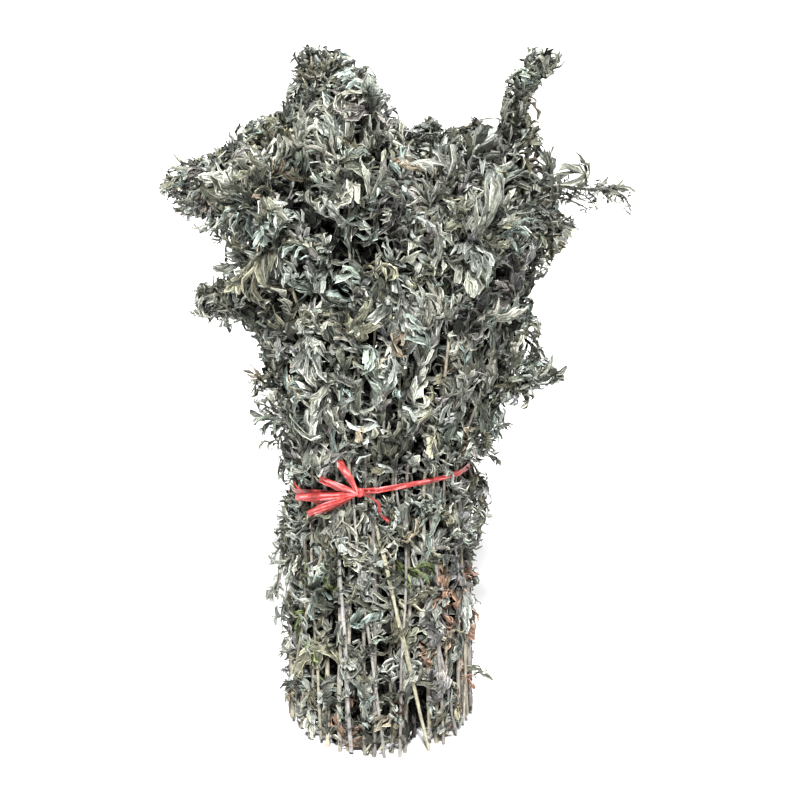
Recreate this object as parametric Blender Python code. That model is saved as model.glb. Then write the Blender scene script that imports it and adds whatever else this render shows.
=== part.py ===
"""A bunch of dried mugwort that stands on its cut stems, tied round its waist with a red film ribbon.

Metres, +Z up. The origin is on the surface that the bunch stands on, at the cut end of its middle stem.
-Y is the front, where the bow is, and +X is to the right of someone who looks at the front.

Every outer stem is an object of its own with its leaves. The inner stems are in pairs that press together
at the tie, and each pair is one object. A leaf grows out of a facet of its stem, and lies clear of all that
stands near it.
"""

import math
import random

import bpy
from mathutils import Matrix, Vector
from mathutils.bvhtree import BVHTree

# The whole bunch
SEED = 7
CROWN_HEIGHT = 0.46
CROWN_SPREAD = 1.73
CROWN_LEAN = 0.011
FOOT_SPREAD = 1.07
CLEARANCE = 0.0004
BUNCH_HEIGHT = 0.545

# The tie: the height of its plane over the origin, and how the plane leans
TIE_HEIGHT = 0.2085
TIE_RISE_TO_RIGHT = 0.13
TIE_RISE_TO_FRONT = 0.19

# Stems
OUTER_STEMS = 36
OUTER_RING_RADIUS = 0.0668
INNER_RINGS = ((1, 0.0), (7, 0.0222), (14, 0.0450))
STEM_SIDES = 4
STEMS_IN_SHEAF = 2
STEM_FOOT_RADIUS = 0.0021
STEM_TIP_RADIUS = 0.0011
SHEAF_RADIUS_AT_FOOT = 0.0062
SHEAF_RADIUS_AT_TIE = 0.0011
SHEAF_RADIUS_AT_CROWN = 0.0085

# The crumpled foliage that clings to the top of each stem, out of which its leaves stand
HEAD_FROM = 0.33
OUTER_HEAD_RADIUS = 0.0038
INNER_HEAD_RADIUS = 0.0044

# Leaves
LEAF_THICKNESS = 0.0010
LEAF_TRIES = 60
LEAF_SHRINKS = (1.0, 0.8, 0.62)
ROOT_HEIGHT = 0.0012
RIB_WIDTH = 0.19
# Each pair of lobes on a leaf: where along the rib the notch over it is, then how far along and out it ends
LEAF_LOBES = {
    1: ((0.42, 0.80, 1.0),),
    2: ((0.28, 0.54, 1.0), (0.56, 0.86, 0.74)),
}

# Ribbon
RIBBON_WIDTH = 0.0045
RIBBON_THICKNESS = 0.0009
RIBBON_GAP = 0.0006
KNOT_AZIMUTH = math.radians(258)

# Sprays that stand out of the bunch: the azimuth of the stem, then the reach and height of its bend and
# of its tip. The first six are the ones on the left and right of the photograph.
SPRAYS = (
    (176, (0.105, 0.424), (0.131, 0.446)),
    (158, (0.100, 0.412), (0.116, 0.462)),
    (189, (0.092, 0.325), (0.117, 0.350)),
    (2, (0.093, 0.455), (0.107, 0.506)),
    (-9, (0.118, 0.430), (0.166, 0.440)),
    (-19, (0.090, 0.278), (0.115, 0.299)),
    (62, (0.110, 0.405), (0.140, 0.446)),
    (118, (0.096, 0.330), (0.124, 0.362)),
    (232, (0.104, 0.402), (0.126, 0.440)),
    (305, (0.100, 0.395), (0.122, 0.424)),
)
SPRAY_WITHIN = 5.1

# The tall head at the left of the middle: where it stands over the tie, and how much it rises
TOWER_AT = Vector((-0.0220, -0.006))
TOWER_WITHIN = 0.034
TOWER_RISE = 0.048


def clear_scene():
    for thing in list(bpy.data.objects):
        bpy.data.objects.remove(thing)


def radial(azimuth, reach, height):
    return Vector((reach * math.cos(azimuth), reach * math.sin(azimuth), height))


def tie_plane(x, y):
    """Height of the tie's middle line over the point x, y."""
    return TIE_HEIGHT + TIE_RISE_TO_RIGHT * x - TIE_RISE_TO_FRONT * y


def fanned(x, y, height):
    """Where a stem that runs through the tie at x, y has got to at this height. Those on the right fan out
    sooner than those on the left, and the whole crown leans a little to the right."""
    waist = tie_plane(x, y)
    if height < waist:
        spread = 1 + (FOOT_SPREAD - 1) * ((waist - height) / waist) ** 1.5
        return Vector((x * spread, y * spread, height))
    risen = (height - waist) / (CROWN_HEIGHT - waist)
    to_right = x / max(math.hypot(x, y), 1e-6)
    spread = 1 + (CROWN_SPREAD - 1) * risen ** (1.2 - 0.45 * to_right)
    return Vector((x * spread + CROWN_LEAN * risen, y * spread, height))


def on_curve(knots, share):
    """Point at this share of a smooth curve through the knots."""
    spans = len(knots) - 1
    place = min(max(share, 0.0), 1.0) * spans
    i = min(int(place), spans - 1)
    t = place - i
    here, there = knots[i], knots[i + 1]
    before = knots[i - 1] if i else here * 2 - there
    after = knots[i + 2] if i + 2 <= spans else there * 2 - here
    return 0.5 * (
        here * 2
        + (there - before) * t
        + (before * 2 - here * 5 + there * 4 - after) * t * t
        + (here * 3 - before - there * 3 + after) * t * t * t
    )


def stem_rings(centres, radii, spin):
    """Corners of a stem's faceted bar, ring by ring from its cut end up. The first ring is level."""
    rings, last = [], len(centres) - 1
    for i, (centre, radius) in enumerate(zip(centres, radii)):
        along = (centres[min(i + 1, last)] - centres[max(i - 1, 0)]).normalized()
        if i == 0:
            along = Vector((0, 0, 1))
        side = (spin - along * spin.dot(along)).normalized()
        front = along.cross(side)
        turns = [2 * math.pi * k / STEM_SIDES for k in range(STEM_SIDES)]
        rings.append([centre + (side * math.cos(t) + front * math.sin(t)) * radius for t in turns])
    return rings


def skin(top, bottom, triangles, open_edge=()):
    """Faces of a thin solid between two sheets of points that are split alike, with one edge left open."""
    faces = [tuple(top[v] for v in corners) for corners in triangles]
    faces += [tuple(bottom[v] for v in reversed(corners)) for corners in triangles]
    edges = {(t[k], t[(k + 1) % 3]) for t in triangles for k in range(3)}
    for a, b in sorted(edges):
        if (b, a) not in edges and (a, b) != open_edge:
            faces += [(top[b], top[a], bottom[a]), (top[b], bottom[a], bottom[b])]
    return faces


def leaf_cut(lobes):
    """Outline of a leaf with these pairs of lobes: places along the rib and across it, and triangles."""
    places = [(0.0, 1.0, "rib"), (0.0, -1.0, "rib")]
    triangles = []
    left, right = 0, 1
    for notch, tip, reach in lobes:
        start = len(places)
        places += [(notch, 1.0, "rib"), (notch, -1.0, "rib")]
        places += [(tip, reach, "lobe"), (tip, -reach, "lobe")]
        new_left, new_right, tip_left, tip_right = range(start, start + 4)
        triangles += [(right, new_right, left), (new_right, new_left, left)]
        triangles += [(left, new_left, tip_left), (right, tip_right, new_right)]
        left, right = new_left, new_right
    places.append((1.0, 0.0, "lobe"))
    triangles.append((right, len(places) - 1, left))
    return places, triangles


LEAF_CUTS = {pairs: leaf_cut(lobes) for pairs, lobes in LEAF_LOBES.items()}
ROOT_EDGE = (0, 1)


def leaf_sheets(shape, thickness, start=0.0):
    """The upper and the lower points of a dried leaf, arched along its rib, wrung, and cupped across."""
    along, face, length = shape["along"], shape["face"], shape["length"]
    side = face.cross(along)
    upper, lower = [], []
    for s, t, kind in LEAF_CUTS[shape["pairs"]][0]:
        s = s or start
        bend = shape["curl"] * s
        ahead = length * math.sin(bend) / shape["curl"]
        lift = length * (1 - math.cos(bend)) / shape["curl"]
        normal = face * math.cos(bend) - along * math.sin(bend)
        tangent = along * math.cos(bend) + face * math.sin(bend)
        turn = Matrix.Rotation(shape["wring"] * s, 3, tangent)
        across, up = turn @ side, turn @ normal
        wide = shape["width"] / 2 * (RIB_WIDTH if kind == "rib" else 1.0)
        cup = 0.0 if kind == "rib" else shape["cup"] * abs(t) * wide
        point = shape["root"] + along * ahead + face * lift + across * (t * wide) + up * cup
        upper.append(point + up * (thickness / 2))
        lower.append(point - up * (thickness / 2))
    return upper, lower


def leaf_alone(shape, thickness, start=0.0):
    """A leaf as a closed solid from this share of its rib on, to try its place."""
    upper, lower = leaf_sheets(shape, thickness, start)
    if not start:
        lower[1], lower[0], upper[0], upper[1] = shape["corners"]
    count = len(upper)
    triangles = LEAF_CUTS[shape["pairs"]][1]
    return upper + lower, skin(range(count), range(count, 2 * count), triangles)


def root_corners(rings, segment, side, share):
    """Corners of the patch on one facet of the stem that a leaf grows from, anticlockwise from outside."""
    low, high = rings[segment], rings[segment + 1]
    left_low, right_low = low[side], low[(side + 1) % STEM_SIDES]
    left_high, right_high = high[side], high[(side + 1) % STEM_SIDES]
    tall = ((left_high + right_high) - (left_low + right_low)).length / 2
    half = ROOT_HEIGHT / 2 / tall
    corners = []
    for u, v in ((0.2, share - half), (0.8, share - half), (0.8, share + half), (0.2, share + half)):
        corners.append(left_low.lerp(right_low, u).lerp(left_high.lerp(right_high, u), v))
    return corners


def clothed_stem(rings, leaves):
    """Points and faces of a stem whose leaves grow out of patches on its facets."""
    points = [point for ring in rings for point in ring]
    grown = {(leaf["segment"], leaf["side"]): leaf for leaf in leaves}
    last = (len(rings) - 1) * STEM_SIDES
    faces = [tuple(reversed(range(STEM_SIDES))), tuple(range(last, last + STEM_SIDES))]
    for i in range(len(rings) - 1):
        for k in range(STEM_SIDES):
            a, b = i * STEM_SIDES + k, i * STEM_SIDES + (k + 1) % STEM_SIDES
            facet = (a, b, b + STEM_SIDES, a + STEM_SIDES)
            if (i, k) not in grown:
                faces.append(facet)
                continue
            shape = grown[i, k]
            low_left, low_right, high_right, high_left = patch = range(len(points), len(points) + 4)
            faces += [(facet[e], facet[(e + 1) % 4], patch[(e + 1) % 4], patch[e]) for e in range(4)]
            points += shape["corners"]
            upper, lower = leaf_sheets(shape, LEAF_THICKNESS)
            more = len(upper) - 2
            top = [high_right, high_left, *range(len(points), len(points) + more)]
            points += upper[2:]
            bottom = [low_right, low_left, *range(len(points), len(points) + more)]
            points += lower[2:]
            faces += skin(top, bottom, LEAF_CUTS[shape["pairs"]][1], ROOT_EDGE)
    return points, faces


class Occupied:
    """What has been placed so far, so that each new piece is put clear of it."""

    def __init__(self):
        self.held = []

    def add(self, owner, shape):
        low, high = self.box(shape[0])
        self.held.append((owner, low, high, BVHTree.FromPolygons(*shape)))

    def free(self, shape, owners=None, apart_from=()):
        """Whether the shape is clear of the pieces of these owners, or of all but some."""
        low, high = self.box(shape[0])
        tree = None
        for owner, other_low, other_high, other in self.held:
            if owner in apart_from or (owners and owner not in owners):
                continue
            if any(low[k] > other_high[k] or high[k] < other_low[k] for k in range(3)):
                continue
            tree = tree or BVHTree.FromPolygons(*shape)
            if tree.overlap(other):
                return False
        return True

    @staticmethod
    def box(points):
        low = [min(p[k] for p in points) - CLEARANCE for k in range(3)]
        high = [max(p[k] for p in points) + CLEARANCE for k in range(3)]
        return low, high


def foot_height(draw, azimuth, reach):
    """Two stems in three stand on the surface. The rest, and those far left and right, were cut shorter."""
    if reach > 0.9 * OUTER_RING_RADIUS and abs(math.cos(azimuth)) > 0.88:
        return draw.uniform(0.008, 0.016)
    return 0.0 if draw.random() < 0.66 else draw.uniform(0.002, 0.011)


def stem_knots(at_tie, foot_shift, foot, crown_shift, bend, tip):
    """Points that a stem runs through, from its cut end up."""
    x, y = at_tie.x, at_tie.y
    waist = tie_plane(x, y)
    rise = bend[1] if bend else tip[1] - 0.062
    low = waist + (rise - waist) * 0.48
    knots = [
        fanned(x, y, foot) + foot_shift,
        fanned(x, y, (waist + foot) / 2) + foot_shift * 0.45,
        fanned(x, y, waist),
        fanned(x, y, low) + crown_shift * 0.35,
    ]
    if bend:
        azimuth = math.atan2(y, x)
        return knots + [radial(azimuth, *mark) + crown_shift * 0.3 for mark in (bend, tip)]
    return knots + [fanned(x, y, rise) + crown_shift * 0.8, fanned(x, y, tip[1]) + crown_shift]


def stem_radius(height, tip_height, scale, head):
    """A stem tapers evenly, and its top carries a spindle of clinging foliage."""
    taper = STEM_FOOT_RADIUS + (STEM_TIP_RADIUS - STEM_FOOT_RADIUS) * height / tip_height
    over = (height - HEAD_FROM) / max(tip_height - HEAD_FROM, 0.02)
    clothed = math.sin(math.pi * min(max(over, 0.0), 1.0)) if over > 0 else 0.0
    return taper * scale + head * clothed


def rings_of(stem, extra=0.0):
    centres = [on_curve(stem["knots"], share) for share in stem["shares"]]
    tip = max(centre.z for centre in centres)
    draw = random.Random(stem["scale"])
    radii = []
    for centre in centres:
        head = stem["head"] * draw.uniform(0.55, 1.35)
        radii.append(stem_radius(centre.z, tip, stem["scale"], head) + extra)
    return stem_rings(centres, radii, stem["spin"])


OUTER_SHARES = (0.0, 0.2, 0.4, 0.6, 0.7, 0.8, 0.9, 1.0)
INNER_SHARES = (0.0, 0.4, 0.62, 0.8, 0.9, 1.0)


def spray_for(azimuth):
    for degrees, bend, tip in SPRAYS:
        away = (math.degrees(azimuth) - degrees + 180) % 360 - 180
        if abs(away) < SPRAY_WITHIN:
            return bend, tip
    return None


def settle(name, stems, occupied):
    """Keeps the place of these stems if they are clear of all others."""
    if not all(occupied.free(clothed_stem(rings_of(stem, CLEARANCE), [])) for stem in stems):
        return None
    for stem in stems:
        stem["rings"] = rings_of(stem)
        stem["leaves"] = []
        occupied.add(name, clothed_stem(stem["rings"], []))
    return {"name": name, "stems": stems}


def outer_stem(index, occupied):
    """One stem of the outer ring, drawn again until it is clear of the rest."""
    name = f"leafy_stem_{index + 1:02d}"
    for attempt in range(200):
        draw = random.Random(SEED * 100000 + index * 1000 + attempt)
        azimuth = 2 * math.pi * index / OUTER_STEMS + draw.uniform(-0.028, 0.028)
        reach = OUTER_RING_RADIUS + draw.uniform(-0.0018, 0.0018)
        at_tie = radial(azimuth, reach, 0)
        out, tangent = radial(azimuth, 1, 0), Vector((-math.sin(azimuth), math.cos(azimuth), 0))
        foot_shift = tangent * draw.uniform(-0.0055, 0.0055) + out * draw.uniform(-0.002, 0.002)
        crown_shift = tangent * draw.uniform(-0.010, 0.010) + out * draw.uniform(-0.010, 0.007)
        foot = foot_height(draw, azimuth, reach)
        spray = spray_for(2 * math.pi * index / OUTER_STEMS)
        bend, tip = spray or (None, (None, draw.uniform(0.405, 0.468)))
        stem = {
            "knots": stem_knots(at_tie, foot_shift, foot, crown_shift, bend, tip),
            "shares": OUTER_SHARES,
            "scale": draw.uniform(0.85, 1.15),
            "head": OUTER_HEAD_RADIUS,
            "spin": radial(azimuth + draw.uniform(0.3, 1.3), 1, 0),
            "spray": bool(spray),
            "outer": True,
        }
        plant = settle(name, [stem], occupied)
        if plant:
            return plant
    raise RuntimeError(f"no room for {name}")


def inner_places():
    """Azimuth and reach of each inner sheaf in the tie."""
    for ring, (count, reach) in enumerate(INNER_RINGS):
        for k in range(count):
            yield 2 * math.pi * (k + 0.37 * ring) / count, reach


def inner_sheaf(index, azimuth, reach, occupied):
    """Two stems that press together at the tie and part above and below it."""
    name = f"stem_sheaf_{index + 1:02d}"
    for attempt in range(200):
        draw = random.Random(SEED * 200000 + index * 1000 + attempt)
        middle = radial(azimuth + draw.uniform(-0.02, 0.02), reach, 0)
        turn = draw.uniform(0, 2 * math.pi)
        rise = TOWER_RISE * max(0.0, 1 - ((middle.xy - TOWER_AT).length / TOWER_WITHIN) ** 2)
        stems = []
        for k in range(STEMS_IN_SHEAF):
            way = radial(turn + 2 * math.pi * k / STEMS_IN_SHEAF, 1, 0)
            at_tie = middle + way * SHEAF_RADIUS_AT_TIE
            foot_shift = way * SHEAF_RADIUS_AT_FOOT
            foot = foot_height(draw, 0, reach)
            if index == 0 and k == 0:
                foot_shift, foot = at_tie * -FOOT_SPREAD, 0.0
            crown_shift = way * SHEAF_RADIUS_AT_CROWN * draw.uniform(0.85, 1.25)
            top = draw.uniform(0.425, 0.466) + rise
            stems.append({
                "knots": stem_knots(at_tie, foot_shift, foot, crown_shift, None, (None, top)),
                "shares": INNER_SHARES,
                "scale": draw.uniform(0.85, 1.1),
                "head": INNER_HEAD_RADIUS,
                "spin": radial(draw.uniform(0, 2 * math.pi), 1, 0),
                "tall": rise > 0.024,
                "outer": False,
            })
        plant = settle(name, stems, occupied)
        if plant:
            return plant
    raise RuntimeError(f"no room for {name}")


def share_at(knots, height):
    """Share of the stem's curve at which it passes this height."""
    low, high = 0.0, 1.0
    for _ in range(18):
        middle = (low + high) / 2
        if on_curve(knots, middle).z < height:
            low = middle
        else:
            high = middle
    return (low + high) / 2


def leaf_stations(stem, draw):
    """Shares of a stem's length where its leaves grow, and whether each belongs to the tuft at its tip."""
    if not stem["outer"]:
        marks = (0.85, 0.92, 0.97) if stem["tall"] else (0.86, 0.95)
        return [(mark + draw.uniform(-0.02, 0.02), True) for mark in marks]
    tip = on_curve(stem["knots"], 1.0).z
    stations, height = [], draw.uniform(0.028, 0.05)
    while height < tip - 0.030:
        stations.append((share_at(stem["knots"], height), False))
        height += draw.uniform(0.049, 0.071)
    tuft = (0.91, 0.95, 0.98) if stem["spray"] else (0.93, 0.97)
    return stations + [(share, True) for share in tuft]


def draw_leaf(stem, share, tuft, draw, shrink):
    """One leaf as it might grow at this share of the stem: where it points, how long, how curled."""
    shares = stem["shares"]
    segment = max(i for i in range(len(shares) - 1) if shares[i] <= share)
    within = (share - shares[segment]) / (shares[segment + 1] - shares[segment])
    side = draw.randrange(STEM_SIDES)
    corners = root_corners(stem["rings"], segment, side, min(max(within, 0.12), 0.88))
    root = sum(corners, Vector()) / 4
    up = (corners[3] - corners[0]).normalized()
    away = (corners[1] - corners[0]).cross(up).normalized()
    away = Matrix.Rotation(draw.uniform(-0.45, 0.45), 3, up) @ away
    outward = Vector((root.x, root.y, 0)).normalized()
    below = root.z < tie_plane(root.x, root.y)
    if tuft:
        lean, length = draw.uniform(0.25, 0.90), draw.uniform(0.034, 0.050)
    elif root.z < 0.09:
        lean, length = draw.uniform(0.22, 0.42), draw.uniform(0.028, 0.040)
    elif below:
        rising, drooping = draw.uniform(0.30, 0.55), draw.uniform(2.5, 2.85)
        lean, length = draw.choice((rising, drooping)), draw.uniform(0.030, 0.042)
    else:
        lean, length = draw.uniform(0.35, 1.0), draw.uniform(0.036, 0.052)
    along = (up * math.cos(lean) + away * math.sin(lean)).normalized()
    face = (up * math.sin(lean) - away * math.cos(lean)).normalized()
    face = Matrix.Rotation(draw.uniform(-0.8, 0.8), 3, along) @ face
    length *= shrink
    return {
        "segment": segment,
        "side": side,
        "corners": corners,
        "root": root,
        "outward": away.dot(outward),
        "along": along,
        "face": face,
        "length": length,
        "width": length * draw.uniform(0.45, 0.72),
        "pairs": 2 if draw.random() < 0.2 else 1,
        "curl": draw.choice((-1, 1)) * draw.uniform(0.5, 1.5),
        "wring": draw.uniform(-0.9, 0.9),
        "cup": draw.uniform(-0.65, 0.65),
    }


def crosses_itself(points, faces):
    """Whether any two faces that share no corner run through each other."""
    tree = BVHTree.FromPolygons(points, faces)
    return any(not set(faces[a]) & set(faces[b]) for a, b in tree.overlap(tree))


def clear_leaf(plant, stem, found, occupied):
    """Whether a leaf has a free facet to grow from and is clear of its own stem and of all else."""
    if any((found["segment"], found["side"]) == (leaf["segment"], leaf["side"]) for leaf in stem["leaves"]):
        return False
    if stem["outer"] and found["outward"] < (0.35 if found["root"].z < TIE_HEIGHT else 0.0):
        return False
    roomy = dict(found, width=found["width"] * 1.05, length=found["length"] * 1.02)
    test = leaf_alone(roomy, LEAF_THICKNESS + 2 * CLEARANCE)
    heights = [point.z for point in test[0]]
    if min(heights) < 0.002 or max(heights) > BUNCH_HEIGHT:
        return False
    if not occupied.free(test, apart_from=(plant["name"],)):
        return False
    if not occupied.free(leaf_alone(roomy, LEAF_THICKNESS, 0.1), owners=(plant["name"],)):
        return False
    return not crosses_itself(*clothed_stem(stem["rings"], stem["leaves"] + [found]))


def grow_leaves(plant, index, occupied):
    """Gives every station of a plant the first leaf drawn that is clear of all that is there already."""
    draw = random.Random(SEED * 300000 + index)
    for stem in plant["stems"]:
        for share, tuft in leaf_stations(stem, draw):
            shrinks = [shrink for shrink in LEAF_SHRINKS for _ in range(LEAF_TRIES)]
            tries = (draw_leaf(stem, share, tuft, draw, shrink) for shrink in shrinks)
            found = next((leaf for leaf in tries if clear_leaf(plant, stem, leaf, occupied)), None)
            if found:
                occupied.add(plant["name"] + " leaf", leaf_alone(found, LEAF_THICKNESS))
                stem["leaves"].append(found)


def hull_around(points):
    """Convex outline of flat points, anticlockwise."""
    points = sorted(points)

    def half(ordered):
        kept = []
        for p in ordered:
            while len(kept) > 1:
                (ax, ay), (bx, by) = kept[-2], kept[-1]
                if (bx - ax) * (p[1] - ay) - (by - ay) * (p[0] - ax) > 0:
                    break
                kept.pop()
            kept.append(p)
        return kept[:-1]

    return half(points) + half(points[::-1])


def tie_outline(plants):
    """The taut line of the ribbon's inner face round the outer stems, as points over the azimuth."""
    margin = STEM_FOOT_RADIUS + RIBBON_GAP + RIBBON_THICKNESS / 2
    marks = []
    for plant in plants:
        stem = plant["stems"][0]
        if not stem["outer"]:
            continue
        for lift in (-RIBBON_WIDTH / 2, 0, RIBBON_WIDTH / 2):
            at = on_curve(stem["knots"], share_at(stem["knots"], stem["knots"][2].z + lift))
            around = [radial(a * math.pi / 4, margin, 0) + at for a in range(8)]
            marks += [(point.x, point.y) for point in around]
    return hull_around(marks)


def outline_reach(outline, azimuth):
    """Distance from the axis to the outline at this azimuth."""
    dx, dy = math.cos(azimuth), math.sin(azimuth)
    for (ax, ay), (bx, by) in zip(outline, outline[1:] + outline[:1]):
        ex, ey = bx - ax, by - ay
        cross = dx * ey - dy * ex
        if abs(cross) < 1e-12:
            continue
        reach = (ax * ey - ay * ex) / cross
        along = (ax * dy - ay * dx) / cross
        if reach > 0 and -1e-9 <= along <= 1 + 1e-9:
            return reach
    raise RuntimeError("the outline doesn't go round the axis")


def strip(points, faces_out, width, thickness, closed=False):
    """A flat ribbon swept through the points. faces_out holds the way that its broad face looks at each."""
    count = len(points)
    corners = []
    for i in range(count):
        before = points[i - 1] if closed or i else points[0]
        after = points[(i + 1) % count] if closed or i + 1 < count else points[-1]
        along = (after - before).normalized()
        out = (faces_out[i] - along * faces_out[i].dot(along)).normalized()
        wide = along.cross(out)
        for u, v in ((-1, -1), (1, -1), (1, 1), (-1, 1)):
            corners.append(points[i] + wide * (u * width / 2) + out * (v * thickness / 2))
    faces = []
    for i in range(count if closed else count - 1):
        a, b = 4 * i, 4 * ((i + 1) % count)
        for k in range(4):
            n = (k + 1) % 4
            faces.append((a + k, b + k, b + n, a + n))
    if not closed:
        faces += [(0, 1, 2, 3), tuple(4 * (count - 1) + k for k in (3, 2, 1, 0))]
    return corners, faces


BAND_POINTS = 72
# Each loop of the bow: azimuth and height over the tie of its far end, in degrees and metres
BOW_LOOPS = (
    (247, 0.028),
    (234, 0.014),
    (213, -0.003),
    (224, -0.016),
)
# Each tail: the azimuths and heights that it runs through from the knot
BOW_TAILS = (
    ((265, -0.004), (270, -0.010), (271, -0.017), (276, -0.025)),
    ((245, -0.004), (228, -0.007), (212, 0.004), (206, 0.009)),
)
LOOP_LOW, LOOP_HIGH = 0.0030, 0.0085


def tie_ribbon(plants):
    """The band round the bunch, its knot, and the loops and tails of its bow, as closed shapes."""
    outline = tie_outline(plants)

    def over_band(azimuth, height, lift):
        """A point this far up from the band and out from the stems that fan away from it."""
        on_tie = radial(azimuth, outline_reach(outline, azimuth), 0)
        waist = tie_plane(on_tie.x, on_tie.y)
        return fanned(on_tie.x, on_tie.y, waist + height) + radial(azimuth, lift, 0)

    turns = [2 * math.pi * k / BAND_POINTS for k in range(BAND_POINTS)]
    band = [over_band(a, 0, 0) for a in turns]
    shapes = [strip(band, [radial(a, 1, 0) for a in turns], RIBBON_WIDTH, RIBBON_THICKNESS, True)]

    knot = over_band(KNOT_AZIMUTH, 0, 0.0018)
    out = radial(KNOT_AZIMUTH, 1, 0)
    side = Vector((-out.y, out.x, 0))
    drum = [knot + side * (0.0042 * k) + out * (0.0006 * (1 - k * k)) for k in (-1, -0.4, 0.4, 1)]
    shapes.append(strip(drum, [out] * 4, 0.0070, 0.0040))

    for degrees, height in BOW_LOOPS:
        end = math.radians(degrees)
        outward, back = [], []
        for share in (0.0, 0.3, 0.65, 0.94):
            azimuth = KNOT_AZIMUTH + (end - KNOT_AZIMUTH) * share
            belly = math.sin(math.pi * share) * 0.0012
            under = LOOP_LOW + belly
            over = LOOP_HIGH + 0.4 * belly - 0.004 * (1 - share)
            outward.append((over_band(azimuth, height * share, under), -1))
            back.append((over_band(azimuth, height * share, over), 1))
        far = over_band(end, height, (LOOP_LOW + LOOP_HIGH) / 2)
        route = outward + [(far, 0)] + back[::-1]
        middle = radial((KNOT_AZIMUTH + end) / 2, 1, 0)
        away = (far - knot).normalized()
        faces_out = [middle * sign if sign else away for _, sign in route]
        shapes.append(strip([p for p, _ in route], faces_out, RIBBON_WIDTH * 0.9, RIBBON_THICKNESS))

    for route in BOW_TAILS:
        marks = [knot]
        marks += [over_band(math.radians(a), h, 0.0030 + 0.0004 * k) for k, (a, h) in enumerate(route)]
        faces_out = [Vector((p.x, p.y, 0)).normalized() for p in marks]
        shapes.append(strip(marks, faces_out, RIBBON_WIDTH * 0.7, RIBBON_THICKNESS))
    return shapes


def finish(name, colour, roughness):
    material = bpy.data.materials.new(name)
    material.use_nodes = True
    surface = material.node_tree.nodes["Principled BSDF"]
    surface.inputs["Base Color"].default_value = (*colour, 1)
    surface.inputs["Roughness"].default_value = roughness
    surface.inputs["Metallic"].default_value = 0.0
    return material


def mesh_object(name, shape):
    mesh = bpy.data.meshes.new(name)
    mesh.from_pydata([tuple(p) for p in shape[0]], [], shape[1])
    mesh.update()
    return bpy.data.objects.new(name, mesh)


def fuse(name, shapes, material, solver):
    """One closed body from shapes that run into each other, as an object of this name."""
    body = mesh_object(name, shapes[0])
    bpy.context.scene.collection.objects.link(body)
    body.data.materials.append(material)
    if len(shapes) > 1:
        others = bpy.data.collections.new(name + " pieces")
        bpy.context.scene.collection.children.link(others)
        for k, shape in enumerate(shapes[1:]):
            others.objects.link(mesh_object(f"{name} piece {k}", shape))
        join = body.modifiers.new("join", "BOOLEAN")
        join.operation = "UNION"
        join.operand_type = "COLLECTION"
        join.collection = others
        join.solver = solver
        graph = bpy.context.evaluated_depsgraph_get()
        joined = bpy.data.meshes.new_from_object(body.evaluated_get(graph))
        body.modifiers.clear()
        body.data = joined
        for thing in list(others.objects):
            bpy.data.objects.remove(thing)
        bpy.data.collections.remove(others)
    return body


def herb_finish(name, index):
    """Grey-green dried foliage, a little different on each stem."""
    draw = random.Random(SEED * 400000 + index)
    shade = draw.uniform(0.85, 1.12)
    colour = (0.285 * shade, 0.300 * shade, 0.225 * shade * draw.uniform(0.9, 1.08))
    return finish("dried mugwort of " + name, colour, 0.9)


def main():
    clear_scene()
    occupied = Occupied()
    plants = [outer_stem(i, occupied) for i in range(OUTER_STEMS)]
    plants += [inner_sheaf(i, *place, occupied) for i, place in enumerate(inner_places())]

    ribbon = tie_ribbon(plants)
    for shape in ribbon:
        if not occupied.free(shape, apart_from=("tie_ribbon",)):
            raise RuntimeError("the ribbon runs through a stem")
        occupied.add("tie_ribbon", shape)
    for index, plant in enumerate(plants):
        grow_leaves(plant, index, occupied)

    for index, plant in enumerate(plants):
        shapes = [clothed_stem(stem["rings"], stem["leaves"]) for stem in plant["stems"]]
        # The exact solver turns some of the pairs of stems inside out
        fuse(plant["name"], shapes, herb_finish(plant["name"], index), "MANIFOLD")
    fuse("tie_ribbon", ribbon, finish("red film ribbon", (0.72, 0.075, 0.05), 0.35), "EXACT")


main()
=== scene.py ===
"""The bunch of dried mugwort, dressed: shrivelled cut leaves on woody stems, and a creased red film ribbon.

Metres, +Z up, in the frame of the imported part. The first half repeats how the part places its stems, leaves
and ribbon, so that each fine piece lies where its plain solid is. The second half shapes the fine pieces.
"""

from itertools import compress
import math
import random

import bpy
import numpy as np
from mathutils import Matrix, Vector
from mathutils.bvhtree import BVHTree


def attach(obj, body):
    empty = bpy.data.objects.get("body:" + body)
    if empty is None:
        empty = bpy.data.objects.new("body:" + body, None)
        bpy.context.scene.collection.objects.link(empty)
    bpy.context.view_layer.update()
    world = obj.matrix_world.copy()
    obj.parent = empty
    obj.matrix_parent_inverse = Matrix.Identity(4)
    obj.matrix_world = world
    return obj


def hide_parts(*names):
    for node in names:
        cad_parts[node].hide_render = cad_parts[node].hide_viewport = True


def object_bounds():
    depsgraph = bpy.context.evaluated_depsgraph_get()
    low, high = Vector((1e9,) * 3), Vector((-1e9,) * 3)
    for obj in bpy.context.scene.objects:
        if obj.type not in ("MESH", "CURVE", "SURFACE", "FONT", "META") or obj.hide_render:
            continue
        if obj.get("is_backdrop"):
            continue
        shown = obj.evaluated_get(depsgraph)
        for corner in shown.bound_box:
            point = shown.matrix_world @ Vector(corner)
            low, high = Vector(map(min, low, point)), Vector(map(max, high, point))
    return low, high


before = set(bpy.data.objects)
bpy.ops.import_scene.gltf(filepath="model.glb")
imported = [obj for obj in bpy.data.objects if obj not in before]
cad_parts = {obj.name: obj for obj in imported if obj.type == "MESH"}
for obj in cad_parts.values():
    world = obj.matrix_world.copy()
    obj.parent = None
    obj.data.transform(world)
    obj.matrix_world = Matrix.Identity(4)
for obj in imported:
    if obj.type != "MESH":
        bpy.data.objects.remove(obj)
cad_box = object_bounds()

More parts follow.
